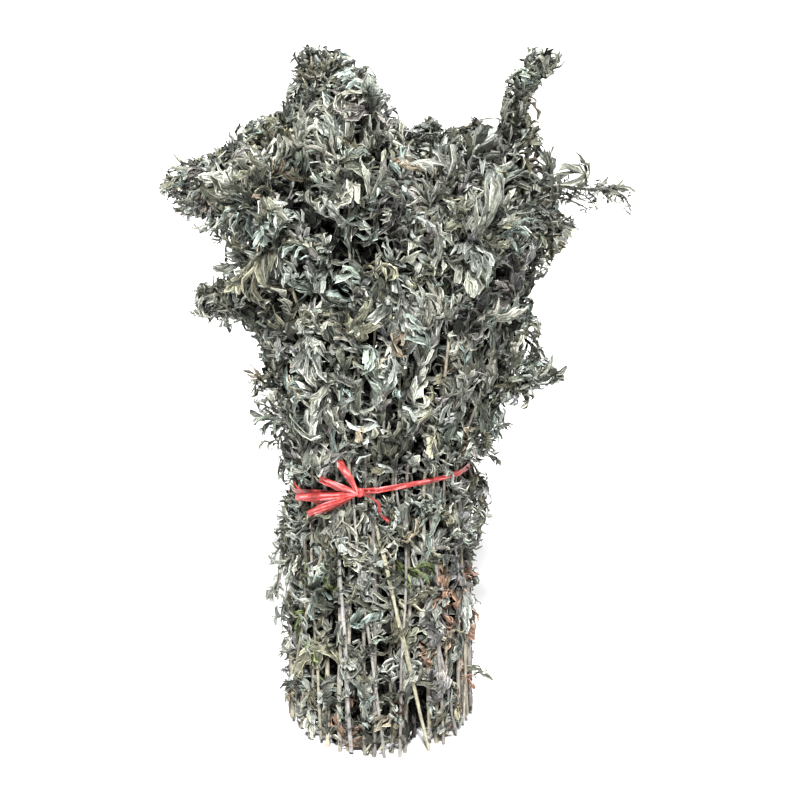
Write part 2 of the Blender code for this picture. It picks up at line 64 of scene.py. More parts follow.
# The whole bunch
SEED = 7
CROWN_HEIGHT = 0.46
CROWN_SPREAD = 1.73
CROWN_LEAN = 0.011
FOOT_SPREAD = 1.07
CLEARANCE = 0.0004
BUNCH_HEIGHT = 0.545

# The tie: the height of its plane over the origin, and how the plane leans
TIE_HEIGHT = 0.2085
TIE_RISE_TO_RIGHT = 0.13
TIE_RISE_TO_FRONT = 0.19

# Stems
OUTER_STEMS = 36
OUTER_RING_RADIUS = 0.0668
INNER_RINGS = ((1, 0.0), (7, 0.0222), (14, 0.0450))
STEM_SIDES = 4
STEMS_IN_SHEAF = 2
STEM_FOOT_RADIUS = 0.0021
STEM_TIP_RADIUS = 0.0011
SHEAF_RADIUS_AT_FOOT = 0.0062
SHEAF_RADIUS_AT_TIE = 0.0011
SHEAF_RADIUS_AT_CROWN = 0.0085

# The crumpled foliage that clings to the top of each stem, out of which its leaves stand
HEAD_FROM = 0.33
OUTER_HEAD_RADIUS = 0.0038
INNER_HEAD_RADIUS = 0.0044

# Leaves
LEAF_THICKNESS = 0.0010
LEAF_TRIES = 60
LEAF_SHRINKS = (1.0, 0.8, 0.62)
ROOT_HEIGHT = 0.0012
RIB_WIDTH = 0.19
# Each pair of lobes on a leaf: where along the rib the notch over it is, then how far along and out it ends
LEAF_LOBES = {
    1: ((0.42, 0.80, 1.0),),
    2: ((0.28, 0.54, 1.0), (0.56, 0.86, 0.74)),
}

# Ribbon
RIBBON_WIDTH = 0.0045
RIBBON_THICKNESS = 0.0009
RIBBON_GAP = 0.0006
KNOT_AZIMUTH = math.radians(258)

# Sprays that stand out of the bunch: the azimuth of the stem, then the reach and height of its bend and
# of its tip. The first six are the ones on the left and right of the photograph.
SPRAYS = (
    (176, (0.105, 0.424), (0.131, 0.446)),
    (158, (0.100, 0.412), (0.116, 0.462)),
    (189, (0.092, 0.325), (0.117, 0.350)),
    (2, (0.093, 0.455), (0.107, 0.506)),
    (-9, (0.118, 0.430), (0.166, 0.440)),
    (-19, (0.090, 0.278), (0.115, 0.299)),
    (62, (0.110, 0.405), (0.140, 0.446)),
    (118, (0.096, 0.330), (0.124, 0.362)),
    (232, (0.104, 0.402), (0.126, 0.440)),
    (305, (0.100, 0.395), (0.122, 0.424)),
)
SPRAY_WITHIN = 5.1

# The tall head at the left of the middle: where it stands over the tie, and how much it rises
TOWER_AT = Vector((-0.0220, -0.006))
TOWER_WITHIN = 0.034
TOWER_RISE = 0.048


def radial(azimuth, reach, height):
    return Vector((reach * math.cos(azimuth), reach * math.sin(azimuth), height))


def tie_plane(x, y):
    """Height of the tie's middle line over the point x, y."""
    return TIE_HEIGHT + TIE_RISE_TO_RIGHT * x - TIE_RISE_TO_FRONT * y


def fanned(x, y, height):
    """Where a stem that runs through the tie at x, y has got to at this height. Those on the right fan out
    sooner than those on the left, and the whole crown leans a little to the right."""
    waist = tie_plane(x, y)
    if height < waist:
        spread = 1 + (FOOT_SPREAD - 1) * ((waist - height) / waist) ** 1.5
        return Vector((x * spread, y * spread, height))
    risen = (height - waist) / (CROWN_HEIGHT - waist)
    to_right = x / max(math.hypot(x, y), 1e-6)
    spread = 1 + (CROWN_SPREAD - 1) * risen ** (1.2 - 0.45 * to_right)
    return Vector((x * spread + CROWN_LEAN * risen, y * spread, height))


def on_curve(knots, share):
    """Point at this share of a smooth curve through the knots."""
    spans = len(knots) - 1
    place = min(max(share, 0.0), 1.0) * spans
    i = min(int(place), spans - 1)
    t = place - i
    here, there = knots[i], knots[i + 1]
    before = knots[i - 1] if i else here * 2 - there
    after = knots[i + 2] if i + 2 <= spans else there * 2 - here
    return 0.5 * (
        here * 2
        + (there - before) * t
        + (before * 2 - here * 5 + there * 4 - after) * t * t
        + (here * 3 - before - there * 3 + after) * t * t * t
    )


def stem_rings(centres, radii, spin):
    """Corners of a stem's faceted bar, ring by ring from its cut end up. The first ring is level."""
    rings, last = [], len(centres) - 1
    for i, (centre, radius) in enumerate(zip(centres, radii)):
        along = (centres[min(i + 1, last)] - centres[max(i - 1, 0)]).normalized()
        if i == 0:
            along = Vector((0, 0, 1))
        side = (spin - along * spin.dot(along)).normalized()
        front = along.cross(side)
        turns = [2 * math.pi * k / STEM_SIDES for k in range(STEM_SIDES)]
        rings.append([centre + (side * math.cos(t) + front * math.sin(t)) * radius for t in turns])
    return rings


def skin(top, bottom, triangles, open_edge=()):
    """Faces of a thin solid between two sheets of points that are split alike, with one edge left open."""
    faces = [tuple(top[v] for v in corners) for corners in triangles]
    faces += [tuple(bottom[v] for v in reversed(corners)) for corners in triangles]
    edges = {(t[k], t[(k + 1) % 3]) for t in triangles for k in range(3)}
    for a, b in sorted(edges):
        if (b, a) not in edges and (a, b) != open_edge:
            faces += [(top[b], top[a], bottom[a]), (top[b], bottom[a], bottom[b])]
    return faces


def leaf_cut(lobes):
    """Outline of a leaf with these pairs of lobes: places along the rib and across it, and triangles."""
    places = [(0.0, 1.0, "rib"), (0.0, -1.0, "rib")]
    triangles = []
    left, right = 0, 1
    for notch, tip, reach in lobes:
        start = len(places)
        places += [(notch, 1.0, "rib"), (notch, -1.0, "rib")]
        places += [(tip, reach, "lobe"), (tip, -reach, "lobe")]
        new_left, new_right, tip_left, tip_right = range(start, start + 4)
        triangles += [(right, new_right, left), (new_right, new_left, left)]
        triangles += [(left, new_left, tip_left), (right, tip_right, new_right)]
        left, right = new_left, new_right
    places.append((1.0, 0.0, "lobe"))
    triangles.append((right, len(places) - 1, left))
    return places, triangles


LEAF_CUTS = {pairs: leaf_cut(lobes) for pairs, lobes in LEAF_LOBES.items()}
ROOT_EDGE = (0, 1)


def leaf_sheets(shape, thickness, start=0.0):
    """The upper and the lower points of a dried leaf, arched along its rib, wrung, and cupped across."""
    along, face, length = shape["along"], shape["face"], shape["length"]
    side = face.cross(along)
    upper, lower = [], []
    for s, t, kind in LEAF_CUTS[shape["pairs"]][0]:
        s = s or start
        bend = shape["curl"] * s
        ahead = length * math.sin(bend) / shape["curl"]
        lift = length * (1 - math.cos(bend)) / shape["curl"]
        normal = face * math.cos(bend) - along * math.sin(bend)
        tangent = along * math.cos(bend) + face * math.sin(bend)
        turn = Matrix.Rotation(shape["wring"] * s, 3, tangent)
        across, up = turn @ side, turn @ normal
        wide = shape["width"] / 2 * (RIB_WIDTH if kind == "rib" else 1.0)
        cup = 0.0 if kind == "rib" else shape["cup"] * abs(t) * wide
        point = shape["root"] + along * ahead + face * lift + across * (t * wide) + up * cup
        upper.append(point + up * (thickness / 2))
        lower.append(point - up * (thickness / 2))
    return upper, lower


def leaf_alone(shape, thickness, start=0.0):
    """A leaf as a closed solid from this share of its rib on, to try its place."""
    upper, lower = leaf_sheets(shape, thickness, start)
    if not start:
        lower[1], lower[0], upper[0], upper[1] = shape["corners"]
    count = len(upper)
    triangles = LEAF_CUTS[shape["pairs"]][1]
    return upper + lower, skin(range(count), range(count, 2 * count), triangles)


def root_corners(rings, segment, side, share):
    """Corners of the patch on one facet of the stem that a leaf grows from, anticlockwise from outside."""
    low, high = rings[segment], rings[segment + 1]
    left_low, right_low = low[side], low[(side + 1) % STEM_SIDES]
    left_high, right_high = high[side], high[(side + 1) % STEM_SIDES]
    tall = ((left_high + right_high) - (left_low + right_low)).length / 2
    half = ROOT_HEIGHT / 2 / tall
    corners = []
    for u, v in ((0.2, share - half), (0.8, share - half), (0.8, share + half), (0.2, share + half)):
        corners.append(left_low.lerp(right_low, u).lerp(left_high.lerp(right_high, u), v))
    return corners


def clothed_stem(rings, leaves):
    """Points and faces of a stem whose leaves grow out of patches on its facets."""
    points = [point for ring in rings for point in ring]
    grown = {(leaf["segment"], leaf["side"]): leaf for leaf in leaves}
    last = (len(rings) - 1) * STEM_SIDES
    faces = [tuple(reversed(range(STEM_SIDES))), tuple(range(last, last + STEM_SIDES))]
    for i in range(len(rings) - 1):
        for k in range(STEM_SIDES):
            a, b = i * STEM_SIDES + k, i * STEM_SIDES + (k + 1) % STEM_SIDES
            facet = (a, b, b + STEM_SIDES, a + STEM_SIDES)
            if (i, k) not in grown:
                faces.append(facet)
                continue
            shape = grown[i, k]
            low_left, low_right, high_right, high_left = patch = range(len(points), len(points) + 4)
            faces += [(facet[e], facet[(e + 1) % 4], patch[(e + 1) % 4], patch[e]) for e in range(4)]
            points += shape["corners"]
            upper, lower = leaf_sheets(shape, LEAF_THICKNESS)
            more = len(upper) - 2
            top = [high_right, high_left, *range(len(points), len(points) + more)]
            points += upper[2:]
            bottom = [low_right, low_left, *range(len(points), len(points) + more)]
            points += lower[2:]
            faces += skin(top, bottom, LEAF_CUTS[shape["pairs"]][1], ROOT_EDGE)
    return points, faces


class Occupied:
    """What has been placed so far, so that each new piece is put clear of it."""

    def __init__(self):
        self.held = []

    def add(self, owner, shape):
        low, high = self.box(shape[0])
        self.held.append((owner, low, high, BVHTree.FromPolygons(*shape)))

    def free(self, shape, owners=None, apart_from=()):
        """Whether the shape is clear of the pieces of these owners, or of all but some."""
        low, high = self.box(shape[0])
        tree = None
        for owner, other_low, other_high, other in self.held:
            if owner in apart_from or (owners and owner not in owners):
                continue
            if any(low[k] > other_high[k] or high[k] < other_low[k] for k in range(3)):
                continue
            tree = tree or BVHTree.FromPolygons(*shape)
            if tree.overlap(other):
                return False
        return True

    @staticmethod
    def box(points):
        low = [min(p[k] for p in points) - CLEARANCE for k in range(3)]
        high = [max(p[k] for p in points) + CLEARANCE for k in range(3)]
        return low, high


def foot_height(draw, azimuth, reach):
    """Two stems in three stand on the surface. The rest, and those far left and right, were cut shorter."""
    if reach > 0.9 * OUTER_RING_RADIUS and abs(math.cos(azimuth)) > 0.88:
        return draw.uniform(0.008, 0.016)
    return 0.0 if draw.random() < 0.66 else draw.uniform(0.002, 0.011)


def stem_knots(at_tie, foot_shift, foot, crown_shift, bend, tip):
    """Points that a stem runs through, from its cut end up."""
    x, y = at_tie.x, at_tie.y
    waist = tie_plane(x, y)
    rise = bend[1] if bend else tip[1] - 0.062
    low = waist + (rise - waist) * 0.48
    knots = [
        fanned(x, y, foot) + foot_shift,
        fanned(x, y, (waist + foot) / 2) + foot_shift * 0.45,
        fanned(x, y, waist),
        fanned(x, y, low) + crown_shift * 0.35,
    ]
    if bend:
        azimuth = math.atan2(y, x)
        return knots + [radial(azimuth, *mark) + crown_shift * 0.3 for mark in (bend, tip)]
    return knots + [fanned(x, y, rise) + crown_shift * 0.8, fanned(x, y, tip[1]) + crown_shift]


def stem_radius(height, tip_height, scale, head):
    """A stem tapers evenly, and its top carries a spindle of clinging foliage."""
    taper = STEM_FOOT_RADIUS + (STEM_TIP_RADIUS - STEM_FOOT_RADIUS) * height / tip_height
    over = (height - HEAD_FROM) / max(tip_height - HEAD_FROM, 0.02)
    clothed = math.sin(math.pi * min(max(over, 0.0), 1.0)) if over > 0 else 0.0
    return taper * scale + head * clothed


def rings_of(stem, extra=0.0):
    centres = [on_curve(stem["knots"], share) for share in stem["shares"]]
    tip = max(centre.z for centre in centres)
    draw = random.Random(stem["scale"])
    radii = []
    for centre in centres:
        head = stem["head"] * draw.uniform(0.55, 1.35)
        radii.append(stem_radius(centre.z, tip, stem["scale"], head) + extra)
    return stem_rings(centres, radii, stem["spin"])


OUTER_SHARES = (0.0, 0.2, 0.4, 0.6, 0.7, 0.8, 0.9, 1.0)
INNER_SHARES = (0.0, 0.4, 0.62, 0.8, 0.9, 1.0)


def degrees_apart(azimuth, other):
    """Degrees between two azimuths that are given in degrees."""
    return abs((azimuth - other + 180) % 360 - 180)


def spray_for(azimuth):
    for degrees, bend, tip in SPRAYS:
        if degrees_apart(math.degrees(azimuth), degrees) < SPRAY_WITHIN:
            return bend, tip
    return None


def settle(name, stems, occupied):
    """Keeps the place of these stems if they are clear of all others."""
    if not all(occupied.free(clothed_stem(rings_of(stem, CLEARANCE), [])) for stem in stems):
        return None
    for stem in stems:
        stem["rings"] = rings_of(stem)
        stem["leaves"] = []
        occupied.add(name, clothed_stem(stem["rings"], []))
    return {"name": name, "stems": stems}


def outer_stem(index, occupied):
    """One stem of the outer ring, drawn again until it is clear of the rest."""
    name = f"leafy_stem_{index + 1:02d}"
    for attempt in range(200):
        draw = random.Random(SEED * 100000 + index * 1000 + attempt)
        azimuth = 2 * math.pi * index / OUTER_STEMS + draw.uniform(-0.028, 0.028)
        reach = OUTER_RING_RADIUS + draw.uniform(-0.0018, 0.0018)
        at_tie = radial(azimuth, reach, 0)
        out, tangent = radial(azimuth, 1, 0), Vector((-math.sin(azimuth), math.cos(azimuth), 0))
        foot_shift = tangent * draw.uniform(-0.0055, 0.0055) + out * draw.uniform(-0.002, 0.002)
        crown_shift = tangent * draw.uniform(-0.010, 0.010) + out * draw.uniform(-0.010, 0.007)
        foot = foot_height(draw, azimuth, reach)
        spray = spray_for(2 * math.pi * index / OUTER_STEMS)
        bend, tip = spray or (None, (None, draw.uniform(0.405, 0.468)))
        stem = {
            "knots": stem_knots(at_tie, foot_shift, foot, crown_shift, bend, tip),
            "shares": OUTER_SHARES,
            "scale": draw.uniform(0.85, 1.15),
            "head": OUTER_HEAD_RADIUS,
            "spin": radial(azimuth + draw.uniform(0.3, 1.3), 1, 0),
            "spray": bool(spray),
            "outer": True,
        }
        plant = settle(name, [stem], occupied)
        if plant:
            return plant
    raise RuntimeError(f"no room for {name}")


def inner_places():
    """Azimuth and reach of each inner sheaf in the tie."""
    for ring, (count, reach) in enumerate(INNER_RINGS):
        for k in range(count):
            yield 2 * math.pi * (k + 0.37 * ring) / count, reach


def inner_sheaf(index, azimuth, reach, occupied):
    """Two stems that press together at the tie and part above and below it."""
    name = f"stem_sheaf_{index + 1:02d}"
    for attempt in range(200):
        draw = random.Random(SEED * 200000 + index * 1000 + attempt)
        middle = radial(azimuth + draw.uniform(-0.02, 0.02), reach, 0)
        turn = draw.uniform(0, 2 * math.pi)
        rise = TOWER_RISE * max(0.0, 1 - ((middle.xy - TOWER_AT).length / TOWER_WITHIN) ** 2)
        stems = []
        for k in range(STEMS_IN_SHEAF):
            way = radial(turn + 2 * math.pi * k / STEMS_IN_SHEAF, 1, 0)
            at_tie = middle + way * SHEAF_RADIUS_AT_TIE
            foot_shift = way * SHEAF_RADIUS_AT_FOOT
            foot = foot_height(draw, 0, reach)
            if index == 0 and k == 0:
                foot_shift, foot = at_tie * -FOOT_SPREAD, 0.0
            crown_shift = way * SHEAF_RADIUS_AT_CROWN * draw.uniform(0.85, 1.25)
            top = draw.uniform(0.425, 0.466) + rise
            stems.append({
                "knots": stem_knots(at_tie, foot_shift, foot, crown_shift, None, (None, top)),
                "shares": INNER_SHARES,
                "scale": draw.uniform(0.85, 1.1),
                "head": INNER_HEAD_RADIUS,
                "spin": radial(draw.uniform(0, 2 * math.pi), 1, 0),
                "tall": rise > 0.024,
                "outer": False,
            })
        plant = settle(name, stems, occupied)
        if plant:
            return plant
    raise RuntimeError(f"no room for {name}")


def share_at(knots, height):
    """Share of the stem's curve at which it passes this height."""
    low, high = 0.0, 1.0
    for _ in range(18):
        middle = (low + high) / 2
        if on_curve(knots, middle).z < height:
            low = middle
        else:
            high = middle
    return (low + high) / 2


def leaf_stations(stem, draw):
    """Shares of a stem's length where its leaves grow, and whether each belongs to the tuft at its tip."""
    if not stem["outer"]:
        marks = (0.85, 0.92, 0.97) if stem["tall"] else (0.86, 0.95)
        return [(mark + draw.uniform(-0.02, 0.02), True) for mark in marks]
    tip = on_curve(stem["knots"], 1.0).z
    stations, height = [], draw.uniform(0.028, 0.05)
    while height < tip - 0.030:
        stations.append((share_at(stem["knots"], height), False))
        height += draw.uniform(0.049, 0.071)
    tuft = (0.91, 0.95, 0.98) if stem["spray"] else (0.93, 0.97)
    return stations + [(share, True) for share in tuft]


def draw_leaf(stem, share, tuft, draw, shrink):
    """One leaf as it might grow at this share of the stem: where it points, how long, how curled."""
    shares = stem["shares"]
    segment = max(i for i in range(len(shares) - 1) if shares[i] <= share)
    within = (share - shares[segment]) / (shares[segment + 1] - shares[segment])
    side = draw.randrange(STEM_SIDES)
    corners = root_corners(stem["rings"], segment, side, min(max(within, 0.12), 0.88))
    root = sum(corners, Vector()) / 4
    up = (corners[3] - corners[0]).normalized()
    away = (corners[1] - corners[0]).cross(up).normalized()
    away = Matrix.Rotation(draw.uniform(-0.45, 0.45), 3, up) @ away
    outward = Vector((root.x, root.y, 0)).normalized()
    below = root.z < tie_plane(root.x, root.y)
    if tuft:
        lean, length = draw.uniform(0.25, 0.90), draw.uniform(0.034, 0.050)
    elif root.z < 0.09:
        lean, length = draw.uniform(0.22, 0.42), draw.uniform(0.028, 0.040)
    elif below:
        rising, drooping = draw.uniform(0.30, 0.55), draw.uniform(2.5, 2.85)
        lean, length = draw.choice((rising, drooping)), draw.uniform(0.030, 0.042)
    else:
        lean, length = draw.uniform(0.35, 1.0), draw.uniform(0.036, 0.052)
    along = (up * math.cos(lean) + away * math.sin(lean)).normalized()
    face = (up * math.sin(lean) - away * math.cos(lean)).normalized()
    face = Matrix.Rotation(draw.uniform(-0.8, 0.8), 3, along) @ face
    length *= shrink
    return {
        "segment": segment,
        "side": side,
        "corners": corners,
        "root": root,
        "outward": away.dot(outward),
        "along": along,
        "face": face,
        "length": length,
        "width": length * draw.uniform(0.45, 0.72),
        "pairs": 2 if draw.random() < 0.2 else 1,
        "curl": draw.choice((-1, 1)) * draw.uniform(0.5, 1.5),
        "wring": draw.uniform(-0.9, 0.9),
        "cup": draw.uniform(-0.65, 0.65),
    }


def crosses_itself(points, faces):
    """Whether any two faces that share no corner run through each other."""
    tree = BVHTree.FromPolygons(points, faces)
    return any(not set(faces[a]) & set(faces[b]) for a, b in tree.overlap(tree))


def clear_leaf(plant, stem, found, occupied):
    """Whether a leaf has a free facet to grow from and is clear of its own stem and of all else."""
    if any((found["segment"], found["side"]) == (leaf["segment"], leaf["side"]) for leaf in stem["leaves"]):
        return False
    if stem["outer"] and found["outward"] < (0.35 if found["root"].z < TIE_HEIGHT else 0.0):
        return False
    roomy = dict(found, width=found["width"] * 1.05, length=found["length"] * 1.02)
    test = leaf_alone(roomy, LEAF_THICKNESS + 2 * CLEARANCE)
    heights = [point.z for point in test[0]]
    if min(heights) < 0.002 or max(heights) > BUNCH_HEIGHT:
        return False
    if not occupied.free(test, apart_from=(plant["name"],)):
        return False
    if not occupied.free(leaf_alone(roomy, LEAF_THICKNESS, 0.1), owners=(plant["name"],)):
        return False
    return not crosses_itself(*clothed_stem(stem["rings"], stem["leaves"] + [found]))


def grow_leaves(plant, index, occupied):
    """Gives every station of a plant the first leaf drawn that is clear of all that is there already."""
    draw = random.Random(SEED * 300000 + index)
    for stem in plant["stems"]:
        for share, tuft in leaf_stations(stem, draw):
            shrinks = [shrink for shrink in LEAF_SHRINKS for _ in range(LEAF_TRIES)]
            tries = (draw_leaf(stem, share, tuft, draw, shrink) for shrink in shrinks)
            found = next((leaf for leaf in tries if clear_leaf(plant, stem, leaf, occupied)), None)
            if found:
                occupied.add(plant["name"] + " leaf", leaf_alone(found, LEAF_THICKNESS))
                stem["leaves"].append(found)


def hull_around(points):
    """Convex outline of flat points, anticlockwise."""
    points = sorted(points)

    def half(ordered):
        kept = []
        for p in ordered:
            while len(kept) > 1:
                (ax, ay), (bx, by) = kept[-2], kept[-1]
                if (bx - ax) * (p[1] - ay) - (by - ay) * (p[0] - ax) > 0:
                    break
                kept.pop()
            kept.append(p)
        return kept[:-1]

    return half(points) + half(points[::-1])


def tie_outline(plants):
    """The taut line of the ribbon's inner face round the outer stems, as points over the azimuth."""
    margin = STEM_FOOT_RADIUS + RIBBON_GAP + RIBBON_THICKNESS / 2
    marks = []
    for plant in plants:
        stem = plant["stems"][0]
        if not stem["outer"]:
            continue
        for lift in (-RIBBON_WIDTH / 2, 0, RIBBON_WIDTH / 2):
            at = on_curve(stem["knots"], share_at(stem["knots"], stem["knots"][2].z + lift))
            around = [radial(a * math.pi / 4, margin, 0) + at for a in range(8)]
            marks += [(point.x, point.y) for point in around]
    return hull_around(marks)


def outline_reach(outline, azimuth):
    """Distance from the axis to the outline at this azimuth."""
    dx, dy = math.cos(azimuth), math.sin(azimuth)
    for (ax, ay), (bx, by) in zip(outline, outline[1:] + outline[:1]):
        ex, ey = bx - ax, by - ay
        cross = dx * ey - dy * ex
        if abs(cross) < 1e-12:
            continue
        reach = (ax * ey - ay * ex) / cross
        along = (ax * dy - ay * dx) / cross
        if reach > 0 and -1e-9 <= along <= 1 + 1e-9:
            return reach
    raise RuntimeError("the outline doesn't go round the axis")


def strip(points, faces_out, width, thickness, closed=False):
    """A flat ribbon swept through the points. faces_out holds the way that its broad face looks at each."""
    count = len(points)
    corners = []
    for i in range(count):
        before = points[i - 1] if closed or i else points[0]
        after = points[(i + 1) % count] if closed or i + 1 < count else points[-1]
        along = (after - before).normalized()
        out = (faces_out[i] - along * faces_out[i].dot(along)).normalized()
        wide = along.cross(out)
        for u, v in ((-1, -1), (1, -1), (1, 1), (-1, 1)):
            corners.append(points[i] + wide * (u * width / 2) + out * (v * thickness / 2))
    faces = []
    for i in range(count if closed else count - 1):
        a, b = 4 * i, 4 * ((i + 1) % count)
        for k in range(4):
            n = (k + 1) % 4
            faces.append((a + k, b + k, b + n, a + n))
    if not closed:
        faces += [(0, 1, 2, 3), tuple(4 * (count - 1) + k for k in (3, 2, 1, 0))]
    return corners, faces


BAND_POINTS = 72
# Each loop of the bow: azimuth and height over the tie of its far end, in degrees and metres
BOW_LOOPS = (
    (247, 0.028),
    (234, 0.014),
    (213, -0.003),
    (224, -0.016),
)
# Each tail: the azimuths and heights that it runs through from the knot
BOW_TAILS = (
    ((265, -0.004), (270, -0.010), (271, -0.017), (276, -0.025)),
    ((245, -0.004), (228, -0.007), (212, 0.004), (206, 0.009)),
)
LOOP_LOW, LOOP_HIGH = 0.0030, 0.0085


def ribbon_routes(plants):
    """Points, the ways that the broad face looks, width and thickness of the band, the knot, and each loop
    and tail of the bow."""
    outline = tie_outline(plants)

    def over_band(azimuth, height, lift):
        """A point this far up from the band and out from the stems that fan away from it."""
        on_tie = radial(azimuth, outline_reach(outline, azimuth), 0)
        waist = tie_plane(on_tie.x, on_tie.y)
        return fanned(on_tie.x, on_tie.y, waist + height) + radial(azimuth, lift, 0)

    turns = [2 * math.pi * k / BAND_POINTS for k in range(BAND_POINTS)]
    band = [over_band(a, 0, 0) for a in turns]
    routes = [(band, [radial(a, 1, 0) for a in turns], RIBBON_WIDTH, RIBBON_THICKNESS, True)]

    knot = over_band(KNOT_AZIMUTH, 0, 0.0018)
    out = radial(KNOT_AZIMUTH, 1, 0)
    side = Vector((-out.y, out.x, 0))
    drum = [knot + side * (0.0042 * k) + out * (0.0006 * (1 - k * k)) for k in (-1, -0.4, 0.4, 1)]
    routes.append((drum, [out] * 4, 0.0070, 0.0040, False))

    for degrees, height in BOW_LOOPS:
        end = math.radians(degrees)
        outward, back = [], []
        for share in (0.0, 0.3, 0.65, 0.94):
            azimuth = KNOT_AZIMUTH + (end - KNOT_AZIMUTH) * share
            belly = math.sin(math.pi * share) * 0.0012
            under = LOOP_LOW + belly
            over = LOOP_HIGH + 0.4 * belly - 0.004 * (1 - share)
            outward.append((over_band(azimuth, height * share, under), -1))
            back.append((over_band(azimuth, height * share, over), 1))
        far = over_band(end, height, (LOOP_LOW + LOOP_HIGH) / 2)
        route = outward + [(far, 0)] + back[::-1]
        middle = radial((KNOT_AZIMUTH + end) / 2, 1, 0)
        away = (far - knot).normalized()
        faces_out = [middle * sign if sign else away for _, sign in route]
        points = [p for p, _ in route]
        routes.append((points, faces_out, RIBBON_WIDTH * 0.9, RIBBON_THICKNESS, False))

    for route in BOW_TAILS:
        marks = [knot]
        marks += [over_band(math.radians(a), h, 0.0030 + 0.0004 * k) for k, (a, h) in enumerate(route)]
        faces_out = [Vector((p.x, p.y, 0)).normalized() for p in marks]
        routes.append((marks, faces_out, RIBBON_WIDTH * 0.7, RIBBON_THICKNESS, False))
    return routes


# Fine leaves. Rows of points run along a blade, and two or three columns across it. Three let it fold.
# The share of a leaf's length that its rib takes up
RIB_END = 0.80
# How finely a leaf is shaped. rib: half widths at the rows of its rib. lobe: shares of a lobe's half width at
# its rows. lobes: for each, the row of the rib that it leaves, its side, its angle from the rib, its length
# and its half width. columns: places across a blade. Lengths and widths are over the leaf's width.
NEAR = {
    "rib": (0.020, 0.030, 0.052, 0.066, 0.066, 0.058, 0.044),
    "lobe": (0.55, 1.00, 1.12, 1.00, 0.52),
    "lobes": (
        (1, 1, 1.05, 0.66, 0.058),
        (2, -1, 0.98, 0.74, 0.062),
        (3, 1, 0.88, 0.78, 0.066),
        (4, -1, 0.80, 0.78, 0.066),
        (5, 1, 0.62, 0.72, 0.066),
        (6, -1, 0.42, 0.66, 0.064),
        (6, 1, 0.0, 0.62, 0.068),
    ),
    "columns": (-1, 0, 1),
}
SMALL = {
    "rib": (0.025, 0.055, 0.068, 0.062, 0.044),
    "lobe": (0.60, 1.08, 1.04, 0.52),
    "lobes": (
        (1, 1, 0.98, 0.68, 0.070),
        (2, -1, 0.86, 0.78, 0.076),
        (3, 1, 0.70, 0.76, 0.076),
        (4, -1, 0.45, 0.68, 0.074),
        (4, 1, 0.0, 0.62, 0.078),
    ),
    "columns": (-1, 0, 1),
}
DEEP = {
    "rib": (0.03, 0.07, 0.08, 0.06),
    "lobe": (0.7, 1.1, 0.85, 0.06),
    "lobes": (
        (1, 1, 1.0, 0.50, 0.085),
        (1, -1, 0.9, 0.60, 0.095),
        (2, 1, 0.75, 0.60, 0.095),
        (3, -1, 0.6, 0.60, 0.095),
        (3, 1, 0.0, 0.55, 0.100),
    ),
    "columns": (-1, 1),
}
# Crumpling: how far it moves a leaf's points, how many waves cross and how long they are, and how far from
# the root it is full. Waves that cross seldom crest together, so their sum is raised.
CRUMPLE = 0.0014
CRUMPLE_WAVES = 3
CRUMPLE_WAVE = 0.0105
CRUMPLE_RAISED = 1.6
CRUMPLE_FULL_AT = 0.010

# Tones of the dried leaves, in linear light
PALE_SAGE = (0.57, 0.59, 0.515)
MINT_GREY = (0.49, 0.575, 0.50)
GREY_GREEN = (0.425, 0.445, 0.375)
MAUVE_GREY = (0.40, 0.385, 0.37)
OLIVE = (0.395, 0.39, 0.28)
DEEP_GREEN = (0.12, 0.13, 0.10)
TAN = (0.46, 0.40, 0.30)
RUST = (0.49, 0.31, 0.22)
BROWN = (0.19, 0.115, 0.075)
FRESH = (0.25, 0.32, 0.13)
TONES = (PALE_SAGE, MINT_GREY, GREY_GREEN, MAUVE_GREY, OLIVE, DEEP_GREEN, TAN)
TONE_SHARES = (0.30, 0.09, 0.25, 0.10, 0.10, 0.14, 0.02)

# Places where the leaves have a tone of their own: the middle, how far it reaches, the tone and its share
TINTS = (
    ((0.068, -0.032, 0.110), 0.019, RUST, 0.90),
    ((0.078, -0.008, 0.104), 0.018, RUST, 0.90),
    ((0.050, -0.052, 0.114), 0.018, RUST, 0.55),
    ((0.060, -0.046, 0.104), 0.022, BROWN, 0.30),
    ((0.036, -0.064, 0.066), 0.014, RUST, 0.75),
    ((-0.030, -0.070, 0.018), 0.016, RUST, 0.70),
    ((0.064, -0.038, 0.044), 0.012, RUST, 0.60),
    ((0.122, -0.004, 0.468), 0.015, TAN, 0.60),
    ((0.072, -0.002, 0.482), 0.013, TAN, 0.60),
    ((-0.055, -0.055, 0.120), 0.030, FRESH, 0.35),
    ((0.018, -0.074, 0.170), 0.014, FRESH, 0.5),
    ((0.0, -0.066, 0.006), 0.060, BROWN, 0.12),
)
# How often a leaf has the tone of its clump, how much lighter or darker it is, and how much warmer or colder
LIKE_CLUMP = 0.6
LEAF_SHADE = (0.54, 1.42)
WARMTH = 0.05
# Painted light and shade: how light the leaves are painted at these heights, and how much darker on the right
# of the crown
PAINTED_LIGHT_HEIGHTS = (0.15, 0.30)
PAINTED_LIGHT_LEVELS = (0.84, 1.03)
PAINTED_SHADE_RIGHT = 0.22


def vectors(things, key):
    return np.array([tuple(thing[key]) for thing in things])


def numbers(things, key):
    return np.array([thing[key] for thing in things])[:, None]


def unit(v):
    return v / np.maximum(np.linalg.norm(v, axis=-1, keepdims=True), 1e-12)


def square_to(ahead, way):
    """The way, turned square to the way ahead."""
    return unit(way - ahead * (way * ahead).sum(-1, keepdims=True))


def blade(centres, across, up, half, fold, columns):
    """Points over each row of a blade that folds up along its middle. All arrays lead alike."""
    rise = up * (half * np.sin(fold))[..., None]
    aside = across * (half * np.cos(fold))[..., None]
    return np.stack([centres + aside * c + rise * abs(c) for c in columns], axis=-2)


